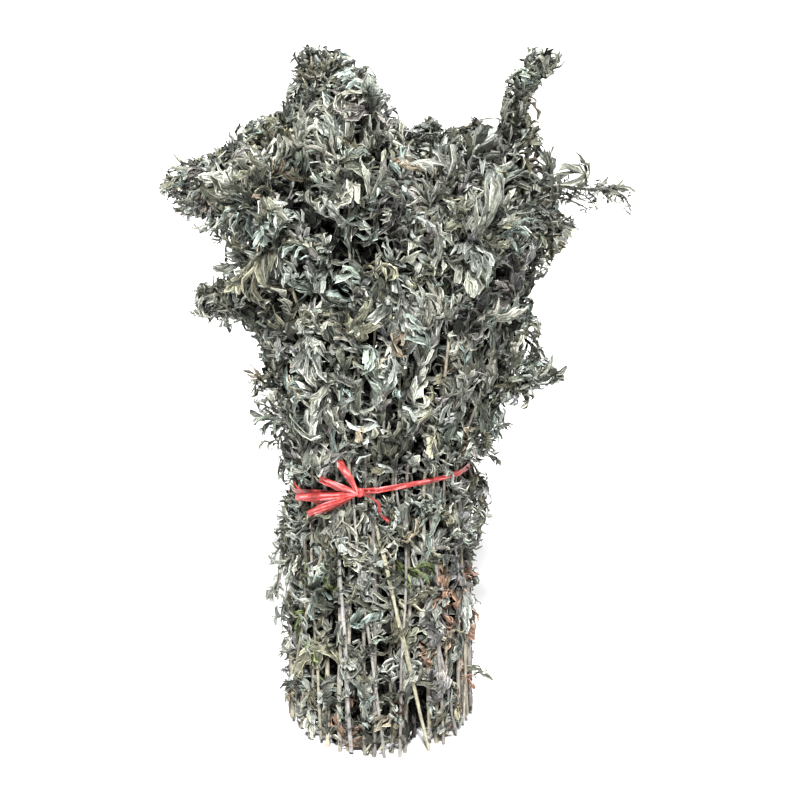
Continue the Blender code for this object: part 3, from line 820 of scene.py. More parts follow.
def ribs(leaves, rng, rows):
    """Frames along each leaf's rib: points, tangents, ways across and up."""
    count = len(leaves)
    share = np.linspace(0, RIB_END, rows)[None, :]
    along, face = vectors(leaves, "along")[:, None], vectors(leaves, "face")[:, None]
    side = np.cross(face, along)
    ripple, phase = rng.uniform(-0.3, 0.3, (count, 1)), rng.uniform(0, 6.3, (count, 1))
    wave = ripple * (np.sin(9 * share + phase) - np.sin(phase))
    bend = (numbers(leaves, "curl") * share + wave)[..., None]
    tangent = along * np.cos(bend) + face * np.sin(bend)
    normal = face * np.cos(bend) - along * np.sin(bend)
    turn = (numbers(leaves, "wring") * share + wave * 0.8)[..., None]
    across = side * np.cos(turn) + normal * np.sin(turn)
    up = normal * np.cos(turn) - side * np.sin(turn)
    step = numbers(leaves, "length")[..., None] * RIB_END / (rows - 1)
    steps = (tangent[:, 1:] + tangent[:, :-1]) / 2 * step
    start = vectors(leaves, "root")[:, None]
    points = np.concatenate([start, start + np.cumsum(steps, axis=1)], axis=1)
    return points, tangent, across, up


def lobes(leaves, frames, rng, form):
    """Rows of points over each lobe of each leaf."""
    points, tangent, across, up = frames
    rows, sides, angles, lengths, halves = (np.array(column) for column in zip(*form["lobes"]))
    each = len(leaves), len(rows)

    def vary(low, high):
        return rng.uniform(low, high, each)

    sign = (sides[None] * rng.choice((-1, 1), (len(leaves), 1)))[..., None]
    unruly, width = numbers(leaves, "unruly"), numbers(leaves, "width")
    angle = (angles[None] * numbers(leaves, "spread") + unruly * vary(-0.2, 0.2))[..., None]
    cup = (numbers(leaves, "cup") + unruly * vary(-0.3, 0.3))[..., None]
    t, a, n = tangent[:, rows], across[:, rows], up[:, rows]
    ahead = unit(t * np.cos(angle) + (a * sign + n * cup) * np.sin(angle))
    normal = square_to(ahead, n)
    length = width * lengths * numbers(leaves, "reach") * vary(0.78, 1.2)
    half = width * halves * numbers(leaves, "broad") * vary(0.75, 1.3)
    curl = numbers(leaves, "lobe_curl") * vary(0.5, 1.3)
    curl = curl + unruly * rng.normal(0, 0.4, each)
    yaw = unruly * sign[..., 0] * vary(-0.9, 0.1)
    roll = unruly * vary(-1.1, 1.1)
    fold = numbers(leaves, "fold") + vary(-0.25, 0.35)
    centre, grid = points[:, rows], []
    last = len(form["lobe"]) - 1
    for k, share in enumerate(form["lobe"]):
        wide = np.cross(normal, ahead)
        teeth = vary(0.70, 1.30)
        bent = fold + 0.3 * k / last
        grid.append(blade(centre, wide, normal, half * share * teeth, bent, form["columns"]))
        pitch = (curl / last * (0.4 + 1.2 * k / last))[..., None]
        veer, spin = (yaw / last)[..., None], (roll / last)[..., None]
        centre = centre + ahead * (length / last)[..., None]
        ahead = unit(ahead + normal * pitch + wide * veer)
        normal = square_to(ahead, unit(normal + wide * spin))
    return np.stack(grid, axis=2)


# The way that each wave of each axis runs, drawn as a normal vector, which is 1.7 long as a rule
CRUMPLE_WAYS = np.random.default_rng(3).normal(0, 1, (CRUMPLE_WAVES, 3, 3)) * 2 * math.pi / CRUMPLE_WAVE / 1.7


def crumple(points, roots, phases):
    """Shifts each leaf's points by a wavy field of its own, less near its root. points: leaves, any, 3."""
    away = np.linalg.norm(points - roots[:, None], axis=-1, keepdims=True)
    shift = np.zeros(points.shape)
    for k in range(CRUMPLE_WAVES):
        for axis in range(3):
            shift[..., axis] += np.sin(points @ CRUMPLE_WAYS[k, axis] + phases[:, None, k])
    return points + shift * CRUMPLE / CRUMPLE_WAVES * CRUMPLE_RAISED * np.clip(away / CRUMPLE_FULL_AT, 0, 1)


def all_points(rib, lobe):
    """Every point of each leaf in one row. The result: leaves, any, 3."""
    return np.concatenate([rib.reshape(len(rib), -1, 3), lobe.reshape(len(rib), -1, 3)], axis=1)


def leaf_grids(leaves, rng, form):
    """The rib's blade and the lobes' blades of every leaf."""
    frames = ribs(leaves, rng, len(form["rib"]))
    points, _, across, up = frames
    half = numbers(leaves, "width") * np.array(form["rib"])[None] * numbers(leaves, "broad")
    rib = blade(points, across, up, half, numbers(leaves, "fold") * 0.8, form["columns"])
    lobe = lobes(leaves, frames, rng, form)
    phases = rng.uniform(0, 6.3, (len(leaves), CRUMPLE_WAVES))
    flat = crumple(all_points(rib, lobe), vectors(leaves, "root"), phases)
    split = rib.shape[1] * rib.shape[2]
    return flat[:, :split].reshape(rib.shape), flat[:, split:].reshape(lobe.shape)


def grid_faces(strips, rows, columns):
    """Quads over strips of rows and columns of points."""
    r, c = np.meshgrid(np.arange(rows - 1), np.arange(columns - 1), indexing="ij")
    corner = (r * columns + c).ravel()
    quad = np.stack([corner, corner + 1, corner + columns + 1, corner + columns], axis=1)
    offsets = np.arange(strips) * rows * columns
    return (offsets[:, None, None] + quad[None]).reshape(-1, 4)


def placed(name, data):
    """A new object of the scene with this data."""
    thing = bpy.data.objects.new(name, data)
    bpy.context.scene.collection.objects.link(thing)
    return thing


# Places of the materials on a piece: leaf and bark on a dressed stem, and film on the ribbon
LEAF, BARK, FILM = 0, 1, 0


class Piece:
    """Points and faces of one piece, with a tone and a place on its blade at each point."""

    def __init__(self, name):
        self.name = name
        self.points, self.faces, self.tones, self.marks, self.slots = [], [], [], [], []
        self.count = 0

    def add(self, points, faces, tones, slot, marks=(0.0, 0.0, 0.0)):
        points = np.asarray(points, float).reshape(-1, 3)
        self.points.append(points)
        self.tones.append(np.broadcast_to(tones, points.shape))
        self.marks.append(np.broadcast_to(marks, points.shape))
        self.faces += [tuple(int(v) + self.count for v in face) for face in faces]
        self.slots += [slot] * len(faces)
        self.count += len(points)

    def add_strips(self, grids, tones, seeds, slot):
        """grids: strips, rows, columns, 3. tones: strips, rows, 3. seeds: strips."""
        strips, rows, columns = grids.shape[:3]
        marks = np.zeros(grids.shape)
        marks[..., 0] = np.linspace(0, 1, rows)[None, :, None]
        marks[..., 1] = np.linspace(-1, 1, columns)[None, None, :]
        marks[..., 2] = seeds[:, None, None]
        tones = np.repeat(tones[:, :, None], columns, axis=2)
        faces = grid_faces(strips, rows, columns)
        self.add(grids, faces, tones.reshape(-1, 3), slot, marks.reshape(-1, 3))

    def make(self, materials):
        mesh = bpy.data.meshes.new(self.name)
        mesh.from_pydata(np.concatenate(self.points).tolist(), [], self.faces)
        for material in materials:
            mesh.materials.append(material)
        mesh.polygons.foreach_set("material_index", self.slots)
        mesh.polygons.foreach_set("use_smooth", [True] * len(self.faces))
        tone = mesh.color_attributes.new("tone", "FLOAT_COLOR", "POINT")
        rgba = np.ones((self.count, 4), np.float32)
        rgba[:, :3] = np.concatenate(self.tones)
        tone.data.foreach_set("color", rgba.ravel())
        mark = mesh.attributes.new("blade", "FLOAT_VECTOR", "POINT")
        mark.data.foreach_set("vector", np.concatenate(self.marks).astype(np.float32).ravel())
        mesh.update()
        return placed(self.name, mesh)


def leaf_tone(draw, root, lean_to=None):
    """Tone of one leaf: a tint of the place where it grows, the tone that it leans to, or any dried tone.
    Painted light and shade make it lighter high up, and darker low down and on the right of the crown.
    """
    for middle, reach, tint, share in TINTS:
        if (root - Vector(middle)).length < reach and draw.random() < share:
            chosen = tint
            break
    else:
        chosen = lean_to if lean_to and draw.random() < LIKE_CLUMP else draw.choices(TONES, TONE_SHARES)[0]
    # Painted light and shade: lighter towards the top, darker low down and on the right of the crown
    painted_light_factor = np.interp(root.z, PAINTED_LIGHT_HEIGHTS, PAINTED_LIGHT_LEVELS)
    painted_light_factor *= 1 - PAINTED_SHADE_RIGHT * np.clip(root.x / 0.08, 0, 1) * np.clip((root.z - 0.25) / 0.12, 0, 1)
    shade = draw.uniform(*LEAF_SHADE) * float(painted_light_factor)
    warm = draw.uniform(-WARMTH, WARMTH)
    return (chosen[0] * shade * (1 + warm), chosen[1] * shade, chosen[2] * shade * (1 - warm))


# Ways in which a leaf has dried: how often, how far its lobes spread, how they curl, how much more its rib
# curls, how tight its blades fold, how broad they are, how unruly its lobes are, and how long
HABITS = (
    (0.30, (0.35, 0.85), (2.2, 4.4), 2.2, (0.5, 1.1), (1.1, 1.5), 1.0, 1.0),
    (0.12, (0.7, 1.1), (1.4, 3.2), 1.4, (0.3, 0.9), (1.1, 1.5), 1.0, 1.0),
    (0.46, (0.22, 0.5), (1.7, 3.8), 2.0, (0.4, 1.0), (1.2, 1.6), 0.5, 1.3),
    (0.12, (0.45, 0.8), (1.0, 2.6), 1.5, (0.15, 0.7), (1.7, 2.3), 0.8, 1.0),
)
CRUSHED, OPEN, FINGERED, BROAD = HABITS
# How far the lobes of the plain solid's own leaves spread, and how much more those leaves curl
SETTLED_SPREAD, SETTLED_CURL = 0.65, 1.6


def any_habit(draw):
    return draw.choices(HABITS, [habit[0] for habit in HABITS])[0]


def dress(leaf, draw, habit=None, lean_to=None, painted_dim=1.0):
    """Adds to a leaf what only its fine shape needs. A leaf of the plain solid comes without a habit."""
    settled = habit is None
    _, spread, lobe_curl, more_curl, fold, broad, unruly, reach = habit or any_habit(draw)
    leaf["unruly"], leaf["reach"] = unruly, reach
    leaf["spread"] = SETTLED_SPREAD if settled else draw.uniform(*spread)
    way = math.copysign(1, leaf["curl"]) * (1 if draw.random() < 0.75 else -1)
    leaf["lobe_curl"] = way * draw.uniform(*lobe_curl)
    leaf["curl"] *= SETTLED_CURL if settled else more_curl
    leaf["fold"] = draw.uniform(*fold)
    leaf["broad"] = draw.uniform(*broad)
    tone = leaf_tone(draw, leaf["root"], lean_to)
    # The tone is darkened by a factor of painted shade where the leaf lies deep in the bunch
    leaf["tone"] = tuple(part * painted_dim for part in tone)
    return leaf


def stem_frame(stem, share):
    """Point of a stem's middle line and the way that the stem runs there."""
    here = on_curve(stem["knots"], share)
    there = on_curve(stem["knots"], min(share + 0.01, 1.0))
    before = on_curve(stem["knots"], min(share + 0.01, 1.0) - 0.02)
    return here, (there - before).normalized()


# How far from its stem's middle line a wished leaf starts, and how near the axis a stem has no outside
WISHED_OFF = 0.0012
NEAR_AXIS = 0.02
# How much shorter a wished leaf is at each further attempt, and the factor by which it curls less
SHORTER, LESS_CURLED = 0.12, 0.85


def small_leaf(wish, draw, attempt):
    """A leaf that grows from a stem as wished, or closer to it at each further attempt."""
    stem = wish["stem"]
    here, up = stem_frame(stem, wish["share"])
    outward = Vector((here.x, here.y, 0.0))
    if outward.length < NEAR_AXIS:
        outward = radial(draw.uniform(0, 6.28), 1, 0)
    away = (outward - up * outward.dot(up)).normalized()
    away = Matrix.Rotation(wish["turn"] + draw.gauss(0, 0.3), 3, up) @ away
    lean = draw.uniform(0.05, 0.5) if attempt > 1 else wish["lean"] + draw.gauss(0, 0.16)
    along = (up * math.cos(lean) + away * math.sin(lean)).normalized()
    face = (up * math.sin(lean) - away * math.cos(lean)).normalized()
    face = Matrix.Rotation(draw.uniform(-0.9, 0.9), 3, along) @ face
    length = draw.uniform(*wish["lengths"]) * (1 - SHORTER * attempt)
    return {
        "root": here + away * WISHED_OFF,
        "along": along,
        "face": face,
        "length": length,
        "width": length * draw.uniform(0.5, 0.8),
        "curl": wish["curl"] * draw.uniform(0.6, 1.3) * LESS_CURLED ** attempt,
        "wring": draw.uniform(-1.1, 1.1),
        "cup": draw.uniform(-0.5, 0.5),
    }


def clump(stem, share, count, kind, draw, tone=None, habit=None):
    """Wishes for leaves that dried against each other: alike in tone, in curl and in where they point."""
    lengths, leans, spread, back = kind
    shared = {
        "stem": stem,
        "lengths": lengths,
        "turn": draw.gauss(0, spread),
        "lean": draw.uniform(*draw.choice(leans)),
        "curl": (1 if draw.random() < back else -1) * draw.uniform(0.3, 1.9),
        "tone": tone or draw.choices(TONES, TONE_SHARES)[0],
        "habit": habit or any_habit(draw),
    }
    for _ in range(count):
        at = min(max(share + draw.uniform(-0.008, 0.008), 0.008), 1.0)
        yield dict(shared, share=at)


# Zones of an outer stem: the height they end at, the height between clumps, the leaves in a clump, and its
# kind. A kind of clump: the lengths of its leaves, how far they lean from the stem, how far round from the
# outside they turn, and how often they curl back.
ZONES = (
    (0.036, (0.010, 0.016), (1, 2), ((0.018, 0.028), ((0.2, 0.8), (1.1, 1.9), (2.2, 2.7)), 0.8, 0.6)),
    (0.095, (0.013, 0.020), (1, 3), ((0.026, 0.037), ((0.25, 0.8), (2.3, 2.9)), 0.75, 0.75)),
    (0.160, (0.011, 0.016), (2, 3), ((0.027, 0.038), ((0.25, 0.8), (2.3, 2.9)), 0.75, 0.75)),
    (0.235, (0.009, 0.013), (2, 3), ((0.024, 0.036), ((0.1, 0.6), (2.6, 3.1)), 0.8, 0.8)),
    (0.330, (0.009, 0.013), (2, 3), ((0.028, 0.042), ((0.2, 0.9), (0.3, 1.0), (1.8, 2.8)), 0.85, 0.75)),
    (0.600, (0.009, 0.012), (2, 4), ((0.026, 0.040), ((0.15, 0.9), (0.3, 1.2), (1.6, 2.7)), 1.1, 0.75)),
)
# Kinds of clump: at the tip of a stem, on a spray, on a wisp with small leaves, at the top of an inner stem
# and of a tall one, over and under the ribbon, in the crushed foliage inside the bunch and under its crown,
# at the foot of a stem, and on a side shoot
TIP = ((0.018, 0.030), ((0.1, 1.1),), 1.6, 0.85)
SPRAY = ((0.020, 0.032), ((0.1, 1.0), (1.3, 2.6)), 3.0, 0.8)
WISP = ((0.006, 0.011), ((0.2, 1.1), (1.2, 2.4)), 3.0, 0.8)
INNER_TOP = ((0.024, 0.040), ((0.2, 1.4),), 3.0, 0.6)
TOWER = ((0.022, 0.038), ((0.1, 1.5),), 3.0, 0.5)
OVER_BAND = ((0.012, 0.022), ((0.2, 0.8), (0.8, 1.5)), 1.0, 0.7)
UNDER_BAND = ((0.012, 0.022), ((1.7, 2.3), (2.3, 2.9)), 1.0, 0.7)
INSIDE = ((0.022, 0.038), ((0.3, 2.7),), 2.2, 0.5)
UNDER_CROWN = ((0.030, 0.046), ((0.5, 2.4),), 2.8, 0.5)
FOOT = ((0.018, 0.028), ((0.2, 1.5),), 1.6, 0.5)
TWIG = ((0.015, 0.027), ((0.1, 1.1), (1.1, 2.2)), 3.0, 0.8)

# Side shoots that fill out the outline: where each ends
SIDE_SHOOTS = (
    (-0.054, -0.010, 0.530), (-0.057, -0.012, 0.513), (-0.047, -0.004, 0.520), (-0.036, -0.010, 0.522),
    (-0.021, -0.010, 0.514), (-0.008, -0.010, 0.506), (-0.024, -0.030, 0.502), (-0.043, -0.030, 0.500),
    (-0.010, 0.012, 0.500), (-0.045, 0.014, 0.510), (-0.030, 0.006, 0.518),
    (-0.146, 0.000, 0.437), (-0.132, -0.010, 0.424), (-0.128, 0.004, 0.450), (-0.122, 0.022, 0.438),
    (-0.114, -0.016, 0.402), (-0.112, 0.004, 0.462), (-0.095, 0.000, 0.472), (-0.082, -0.030, 0.470),
    (-0.122, -0.018, 0.364), (-0.110, -0.028, 0.354), (-0.078, -0.032, 0.275), (-0.073, -0.038, 0.262),
    (0.094, 0.000, 0.500), (0.100, 0.002, 0.512), (0.112, 0.000, 0.524), (0.120, -0.004, 0.520),
    (0.104, 0.006, 0.488), (0.112, -0.004, 0.498), (0.068, 0.000, 0.470), (0.048, 0.000, 0.462),
    (0.114, 0.004, 0.464), (0.122, -0.008, 0.418), (0.125, 0.006, 0.402), (0.118, -0.020, 0.432),
    (0.104, -0.028, 0.332), (0.101, -0.034, 0.316), (0.121, -0.036, 0.294), (0.114, -0.034, 0.306),
    (0.087, -0.042, 0.258), (0.076, -0.034, 0.240), (0.060, 0.100, 0.438), (-0.052, 0.098, 0.440),
    (0.000, 0.108, 0.445), (0.100, 0.062, 0.440), (-0.098, 0.060, 0.440), (0.000, -0.100, 0.430),
    (0.040, 0.060, 0.465), (-0.010, 0.070, 0.470), (0.050, -0.060, 0.462), (-0.060, 0.050, 0.466),
    (-0.045, -0.050, 0.445), (-0.036, -0.070, 0.438), (-0.056, -0.034, 0.452), (-0.030, -0.055, 0.452),
    (-0.062, -0.078, 0.420), (-0.072, -0.060, 0.436), (-0.050, -0.084, 0.412), (-0.100, -0.050, 0.380),
    (-0.140, 0.000, 0.428), (-0.146, 0.000, 0.424), (-0.128, -0.010, 0.408), (-0.124, -0.014, 0.374),
    (0.127, -0.010, 0.410), (0.128, -0.004, 0.398), (0.122, 0.010, 0.390), (0.108, -0.026, 0.344),
    (0.106, -0.014, 0.338), (0.128, -0.036, 0.297), (0.064, 0.000, 0.478),
    (0.130, -0.004, 0.392), (0.124, 0.002, 0.378), (0.120, -0.012, 0.370), (0.113, -0.020, 0.352),
    (0.134, -0.036, 0.296), (-0.134, -0.016, 0.352), (-0.132, -0.020, 0.368), (-0.155, 0.000, 0.438),
    (-0.148, 0.004, 0.446), (-0.092, -0.020, 0.292), (0.082, -0.014, 0.236),
    (0.039, 0.000, 0.484), (0.036, -0.006, 0.479), (0.073, 0.000, 0.487), (0.069, -0.006, 0.480),
    (0.093, 0.000, 0.511), (0.092, -0.002, 0.503), (-0.082, -0.010, 0.146), (-0.084, -0.012, 0.102),
    (-0.082, -0.008, 0.064), (-0.083, -0.012, 0.122), (0.083, -0.006, 0.197), (0.085, -0.004, 0.184),
    (0.083, -0.006, 0.175), (0.136, -0.004, 0.397), (0.136, -0.012, 0.389), (0.119, -0.012, 0.327),
    (0.121, -0.008, 0.333), (-0.161, 0.000, 0.441), (-0.086, 0.000, 0.486), (-0.136, 0.000, 0.453),
    (-0.140, -0.004, 0.417), (-0.055, -0.004, 0.540), (0.129, -0.002, 0.526), (0.124, 0.000, 0.530),
    (0.121, -0.036, 0.300), (-0.132, -0.012, 0.346), (-0.124, -0.020, 0.356), (0.079, -0.014, 0.188),
    (0.080, -0.018, 0.178), (0.078, -0.012, 0.166), (0.081, 0.006, 0.184), (0.077, -0.022, 0.196),
)
# The same for the shoots with small leaves at the end of the right spray
WISPY_SHOOTS = (
    (0.150, -0.030, 0.428), (0.162, -0.030, 0.440), (0.174, -0.030, 0.438), (0.180, -0.030, 0.429),
    (0.157, -0.030, 0.424), (0.146, -0.026, 0.433), (0.155, -0.026, 0.430), (0.151, -0.024, 0.436),
    (0.184, -0.030, 0.427),
)
# How long a side shoot is at least and how far it rises, where there is room, and the hundredths of a stem's
# length that it may grow from
SHOOT_ROOM = 0.020
SHOOT_RISE = 0.010
SHOOT_ROOTS = range(40, 101, 2)
# The share of its length from which a spray's leaves may stand out of the bunch. Other stems have none.
SPRAY_FREE_FROM, NEVER = 0.78, 2.0


def side_shoot(tip, kind, stems):
    """The stem that a side shoot grows from, and the shoot as a stem of its own."""
    cheapest = None
    for stem in stems:
        for k in SHOOT_ROOTS:
            root = on_curve(stem["knots"], k / 100)
            reach = (tip - root).length
            cost = reach + 2 * max(0.0, SHOOT_ROOM - reach) + 2 * max(0.0, SHOOT_RISE + root.z - tip.z)
            if cheapest is None or cost < cheapest[0]:
                cheapest = cost, stem, k / 100
    _, stem, share = cheapest
    root, ahead = stem_frame(stem, share)
    middle = root + ahead * ((tip - root).length * 0.30) + (tip - root) * 0.38
    return stem, {"knots": [root, middle, tip], "kind": kind, "free_from": 0.0}


def add_side_shoots(plants):
    stems = [stem for plant in plants for stem in plant["stems"]]
    for stem in stems:
        stem["shoots"] = []
        stem["free_from"] = SPRAY_FREE_FROM if stem.get("spray") else NEVER
    for tips, kind in ((SIDE_SHOOTS, TWIG), (WISPY_SHOOTS, WISP)):
        for tip in tips:
            stem, shoot = side_shoot(Vector(tip), kind, stems)
            stem["shoots"].append(shoot)


# Single leaves that stand out: azimuth of the stem they grow from in degrees, height, length, how far they
# lean from the stem and turn from its outside, how much they curl back, habit and tone
CHALK = (0.74, 0.75, 0.67)
STRAW_OLIVE = (0.46, 0.44, 0.31)
SINGLE_LEAVES = (
    (-40, 0.396, 0.048, 2.35, 0.5, 0.45, FINGERED, CHALK),
    (-40, 0.388, 0.040, 2.5, 0.2, 0.5, FINGERED, CHALK),
    (-60, 0.440, 0.040, 1.2, 0.1, 0.3, OPEN, CHALK),
    (-80, 0.412, 0.052, 0.55, 0.9, 1.2, FINGERED, STRAW_OLIVE),
    (-60, 0.425, 0.045, 1.5, -0.6, 0.9, FINGERED, STRAW_OLIVE),
    (-160, 0.158, 0.038, 2.5, 0.3, 0.35, BROAD, PALE_SAGE),
    (-90, 0.156, 0.052, 2.6, 0.15, 0.25, BROAD, MINT_GREY),
    (-100, 0.122, 0.040, 2.6, -0.1, 0.35, BROAD, MINT_GREY),
    (-30, 0.300, 0.042, 1.4, 0.5, 0.5, FINGERED, PALE_SAGE),
    (-110, 0.330, 0.042, 2.5, -0.2, 0.4, FINGERED, MINT_GREY),
    (-130, 0.250, 0.040, 0.5, -0.3, 0.8, FINGERED, PALE_SAGE),
    (0, 0.470, 0.030, 1.0, -1.2, 0.5, BROAD, TAN),
    (0, 0.502, 0.036, 0.75, 0.0, 0.6, FINGERED, PALE_SAGE),
    (0, 0.498, 0.034, 0.9, 0.3, 0.6, CRUSHED, GREY_GREEN),
)


# A stem is meant by an azimuth that is fewer degrees from its own than this
STEM_WITHIN = 5


def stem_azimuth(stem):
    """Azimuth in degrees at which a stem runs through the tie."""
    tie = stem["knots"][2]
    return math.degrees(math.atan2(tie.y, tie.x))


def stands_at(stem, degrees):
    return degrees_apart(stem_azimuth(stem), degrees) < STEM_WITHIN


def single_wishes(stem):
    """The single leaves that grow from a stem, as wishes."""
    for degrees, height, length, lean, turn, curl, habit, tone in SINGLE_LEAVES:
        if stands_at(stem, degrees):
            yield {
                "stem": stem,
                "lengths": (length * 0.95, length * 1.05),
                "turn": turn,
                "lean": lean,
                "curl": curl,
                "tone": tone,
                "habit": habit,
                "share": share_at(stem["knots"], height),
            }


# Below this height some clumps have broad leaves
BROAD_BELOW = 0.17
# How far from the ribbon's middle line the small clumps over and under it grow
BESIDE_BAND = (0.003, 0.018)


def outer_wishes(stem, draw):
    """Leaves wished for on an outer stem: clump by clump up its length, then round its tip and its foot,
    beside the ribbon, and along its spray."""
    yield from single_wishes(stem)
    tip = on_curve(stem["knots"], 1.0)
    height = stem["knots"][0].z + draw.uniform(0.003, 0.009)
    while height < tip.z - 0.006:
        _, gaps, counts, kind = next(zone for zone in ZONES if height < zone[0])
        habit = BROAD if height < BROAD_BELOW and draw.random() < 0.3 else None
        share = share_at(stem["knots"], height)
        yield from clump(stem, share, draw.randint(*counts), kind, draw, habit=habit)
        height += draw.uniform(*gaps)
    for _ in range(3):
        yield from clump(stem, draw.uniform(0.94, 1.0), 2, TIP, draw)
    for _ in range(2):
        yield from clump(stem, draw.uniform(0.004, 0.022), 1, FOOT, draw)
    waist = stem["knots"][2]
    band = tie_plane(waist.x, waist.y)
    for kind, side in ((OVER_BAND, 1), (UNDER_BAND, -1)):
        for _ in range(4):
            height = band + side * draw.uniform(*BESIDE_BAND)
            yield from clump(stem, share_at(stem["knots"], height), 1, kind, draw)
    if stem["spray"]:
        wispy = any(shoot["kind"] is WISP for shoot in stem["shoots"])
        kind, low = (WISP, 0.70) if wispy else (SPRAY, 0.72)
        for k in range(18):
            yield from clump(stem, low + (1 - low) * (k + draw.random()) / 18, 2, kind, draw)


def shoot_wishes(shoot, draw):
    """The same for a side shoot."""
    count = 1 if shoot["kind"] is WISP else 2
    for k in range(8):
        habit = CRUSHED if draw.random() < 0.6 else None
        yield from clump(shoot, 0.15 + 0.85 * k / 7, count, shoot["kind"], draw, habit=habit)


def inner_wishes(stem, draw):
    """The same for an inner stem near its top, and for more of a tall one's length."""
    count, low, kind = (18, 0.80, TOWER) if stem["tall"] else (6, 0.85, INNER_TOP)
    for _ in range(count):
        yield from clump(stem, low + (1 - low) * draw.random() ** 0.8, 2, kind, draw)
    if stem["tall"]:
        for _ in range(8):
            yield from clump(stem, draw.uniform(0.94, 1.0), 2, TOWER, draw, habit=CRUSHED)


def deep_wishes(stem, draw):
    """The same for the crushed foliage inside the bunch, painted near black as painted shade between the
    leaves.
    """
    count = 22 if stem["outer"] else 30
    for k in range(count):
        yield from clump(stem, 0.03 + 0.93 * (k + draw.random()) / count, 1, INSIDE, draw, DEEP_GREEN)
    for _ in range(6):
        yield from clump(stem, draw.uniform(0.78, 0.97), 1, UNDER_CROWN, draw, DEEP_GREEN)
    for _ in range(4):
        yield from clump(stem, draw.uniform(0.004, 0.030), 1, FOOT, draw, DEEP_GREEN)


# Cells of the sheet round the bunch on which the ribbon's cover is marked: how many round and up, how far
# they reach under and over the tie, how far a leaf stays under the ribbon, and the mark of a free cell
COVER_AZIMUTHS, COVER_HEIGHTS = 720, 120
COVER_LOW, COVER_HIGH = -0.045, 0.045
COVER_GAP = 0.0008
UNCOVERED = 9.0


def cover_cells(points):
    """Cell round the bunch and cell up from the tie of each point, whether it is near the tie, and reach."""
    x, y, height = points[..., 0], points[..., 1], points[..., 2]
    azimuth = np.arctan2(y, x) % (2 * math.pi)
    over = height - TIE_HEIGHT - TIE_RISE_TO_RIGHT * x + TIE_RISE_TO_FRONT * y
    i = (azimuth / (2 * math.pi) * COVER_AZIMUTHS).astype(int) % COVER_AZIMUTHS
    j = ((over - COVER_LOW) / (COVER_HIGH - COVER_LOW) * COVER_HEIGHTS).astype(int)
    near = (over > COVER_LOW) & (over < COVER_HIGH)
    return i, np.clip(j, 0, COVER_HEIGHTS - 1), near, np.hypot(x, y)


def ribbon_cover(grids):
    """The reach beyond which a leaf would hide or touch the ribbon, over the cells of the sheet."""
    cover = np.full((COVER_AZIMUTHS, COVER_HEIGHTS), UNCOVERED)
    for grid in grids:
        fine = [grid[:-1] * (1 - t) + grid[1:] * t for t in (0.0, 0.25, 0.5, 0.75)]
        i, j, near, reach = cover_cells(np.concatenate(fine))
        for di in range(-2, 3):
            for dj in range(-2, 3):
                cell = (i[near] + di) % COVER_AZIMUTHS, np.clip(j[near] + dj, 0, COVER_HEIGHTS - 1)
                np.minimum.at(cover, cell, reach[near] - COVER_GAP)
    return cover


# How far the leaves stand out from the ring of outer stems, at these heights
OUT_HEIGHTS = (0.0, 0.04, 0.12, 0.17, 0.21, 0.26, 0.33, 0.40, 0.46)
OUT_REACH = (0.009, 0.014, 0.017, 0.016, 0.014, 0.015, 0.018, 0.022, 0.027)


def ring_reach(points):
    """Distance from the axis to the ring of outer stems on the side and at the height of each point."""
    x, y, height = points[..., 0], points[..., 1], points[..., 2]
    reach = np.maximum(np.hypot(x, y), 1e-6)
    to_right = x / reach
    waist = TIE_HEIGHT + (TIE_RISE_TO_RIGHT * x - TIE_RISE_TO_FRONT * y) * OUTER_RING_RADIUS / reach
    below = 1 + (FOOT_SPREAD - 1) * np.clip((waist - height) / waist, 0, 1) ** 1.5
    risen = np.clip((height - waist) / (CROWN_HEIGHT - waist), 0, 1.2)
    above = 1 + (CROWN_SPREAD - 1) * risen ** (1.2 - 0.45 * to_right)
    return OUTER_RING_RADIUS * np.where(height < waist, below, above)


# How high the crown is from its left to its right: the tall head left of the middle, and the right spray
CROWN_ACROSS = (
    -0.20, -0.135, -0.115, -0.097, -0.085, -0.072, -0.066, -0.052, -0.012, 0.010, 0.020, 0.030,
    0.038, 0.048, 0.064, 0.073, 0.081, 0.088, 0.094, 0.108, 0.138, 0.143, 0.20,
)
CROWN_TOPS = (
    0.450, 0.461, 0.472, 0.490, 0.494, 0.495, 0.532, 0.544, 0.536, 0.505, 0.484, 0.484,
    0.495, 0.484, 0.484, 0.498, 0.485, 0.482, 0.520, 0.541, 0.541, 0.466, 0.450,
)
CROWN_FALL_TO_BACK = 0.10
# How far to the left and to the right the leaves reach at these heights
SIDE_HEIGHTS = (
    0.0, 0.020, 0.060, 0.100, 0.130, 0.165, 0.183, 0.200, 0.215, 0.234, 0.262, 0.279, 0.287, 0.292,
    0.308, 0.322, 0.332, 0.340, 0.348, 0.358, 0.368, 0.378, 0.400, 0.420, 0.440, 0.455, 0.475,
    0.490, 0.502, 0.515, 0.528, 0.540,
)
LEFT_REACH = (
    0.074, 0.081, 0.089, 0.094, 0.091, 0.088, 0.084, 0.083, 0.084, 0.089, 0.095, 0.102, 0.104, 0.105,
    0.106, 0.099, 0.108, 0.134, 0.144, 0.145, 0.135, 0.118, 0.130, 0.156, 0.170, 0.156, 0.112,
    0.092, 0.072, 0.070, 0.068, 0.068,
)
RIGHT_REACH = (
    0.074, 0.077, 0.078, 0.082, 0.080, 0.083, 0.091, 0.088, 0.086, 0.084, 0.104, 0.101, 0.110, 0.140,
    0.145, 0.127, 0.126, 0.122, 0.118, 0.117, 0.122, 0.130, 0.146, 0.190, 0.190, 0.190, 0.130,
    0.115, 0.113, 0.124, 0.139, 0.132,
)
# The height that leaves keep over the floor, and the box that they stay in
FLOOR_GAP = 0.0006
LOW_LIMIT = np.array(cad_box[0]) - np.array((0.011, 0.011, 0.0))
HIGH_LIMIT = np.array(cad_box[1]) + np.array((0.018, 0.011, 0.009))


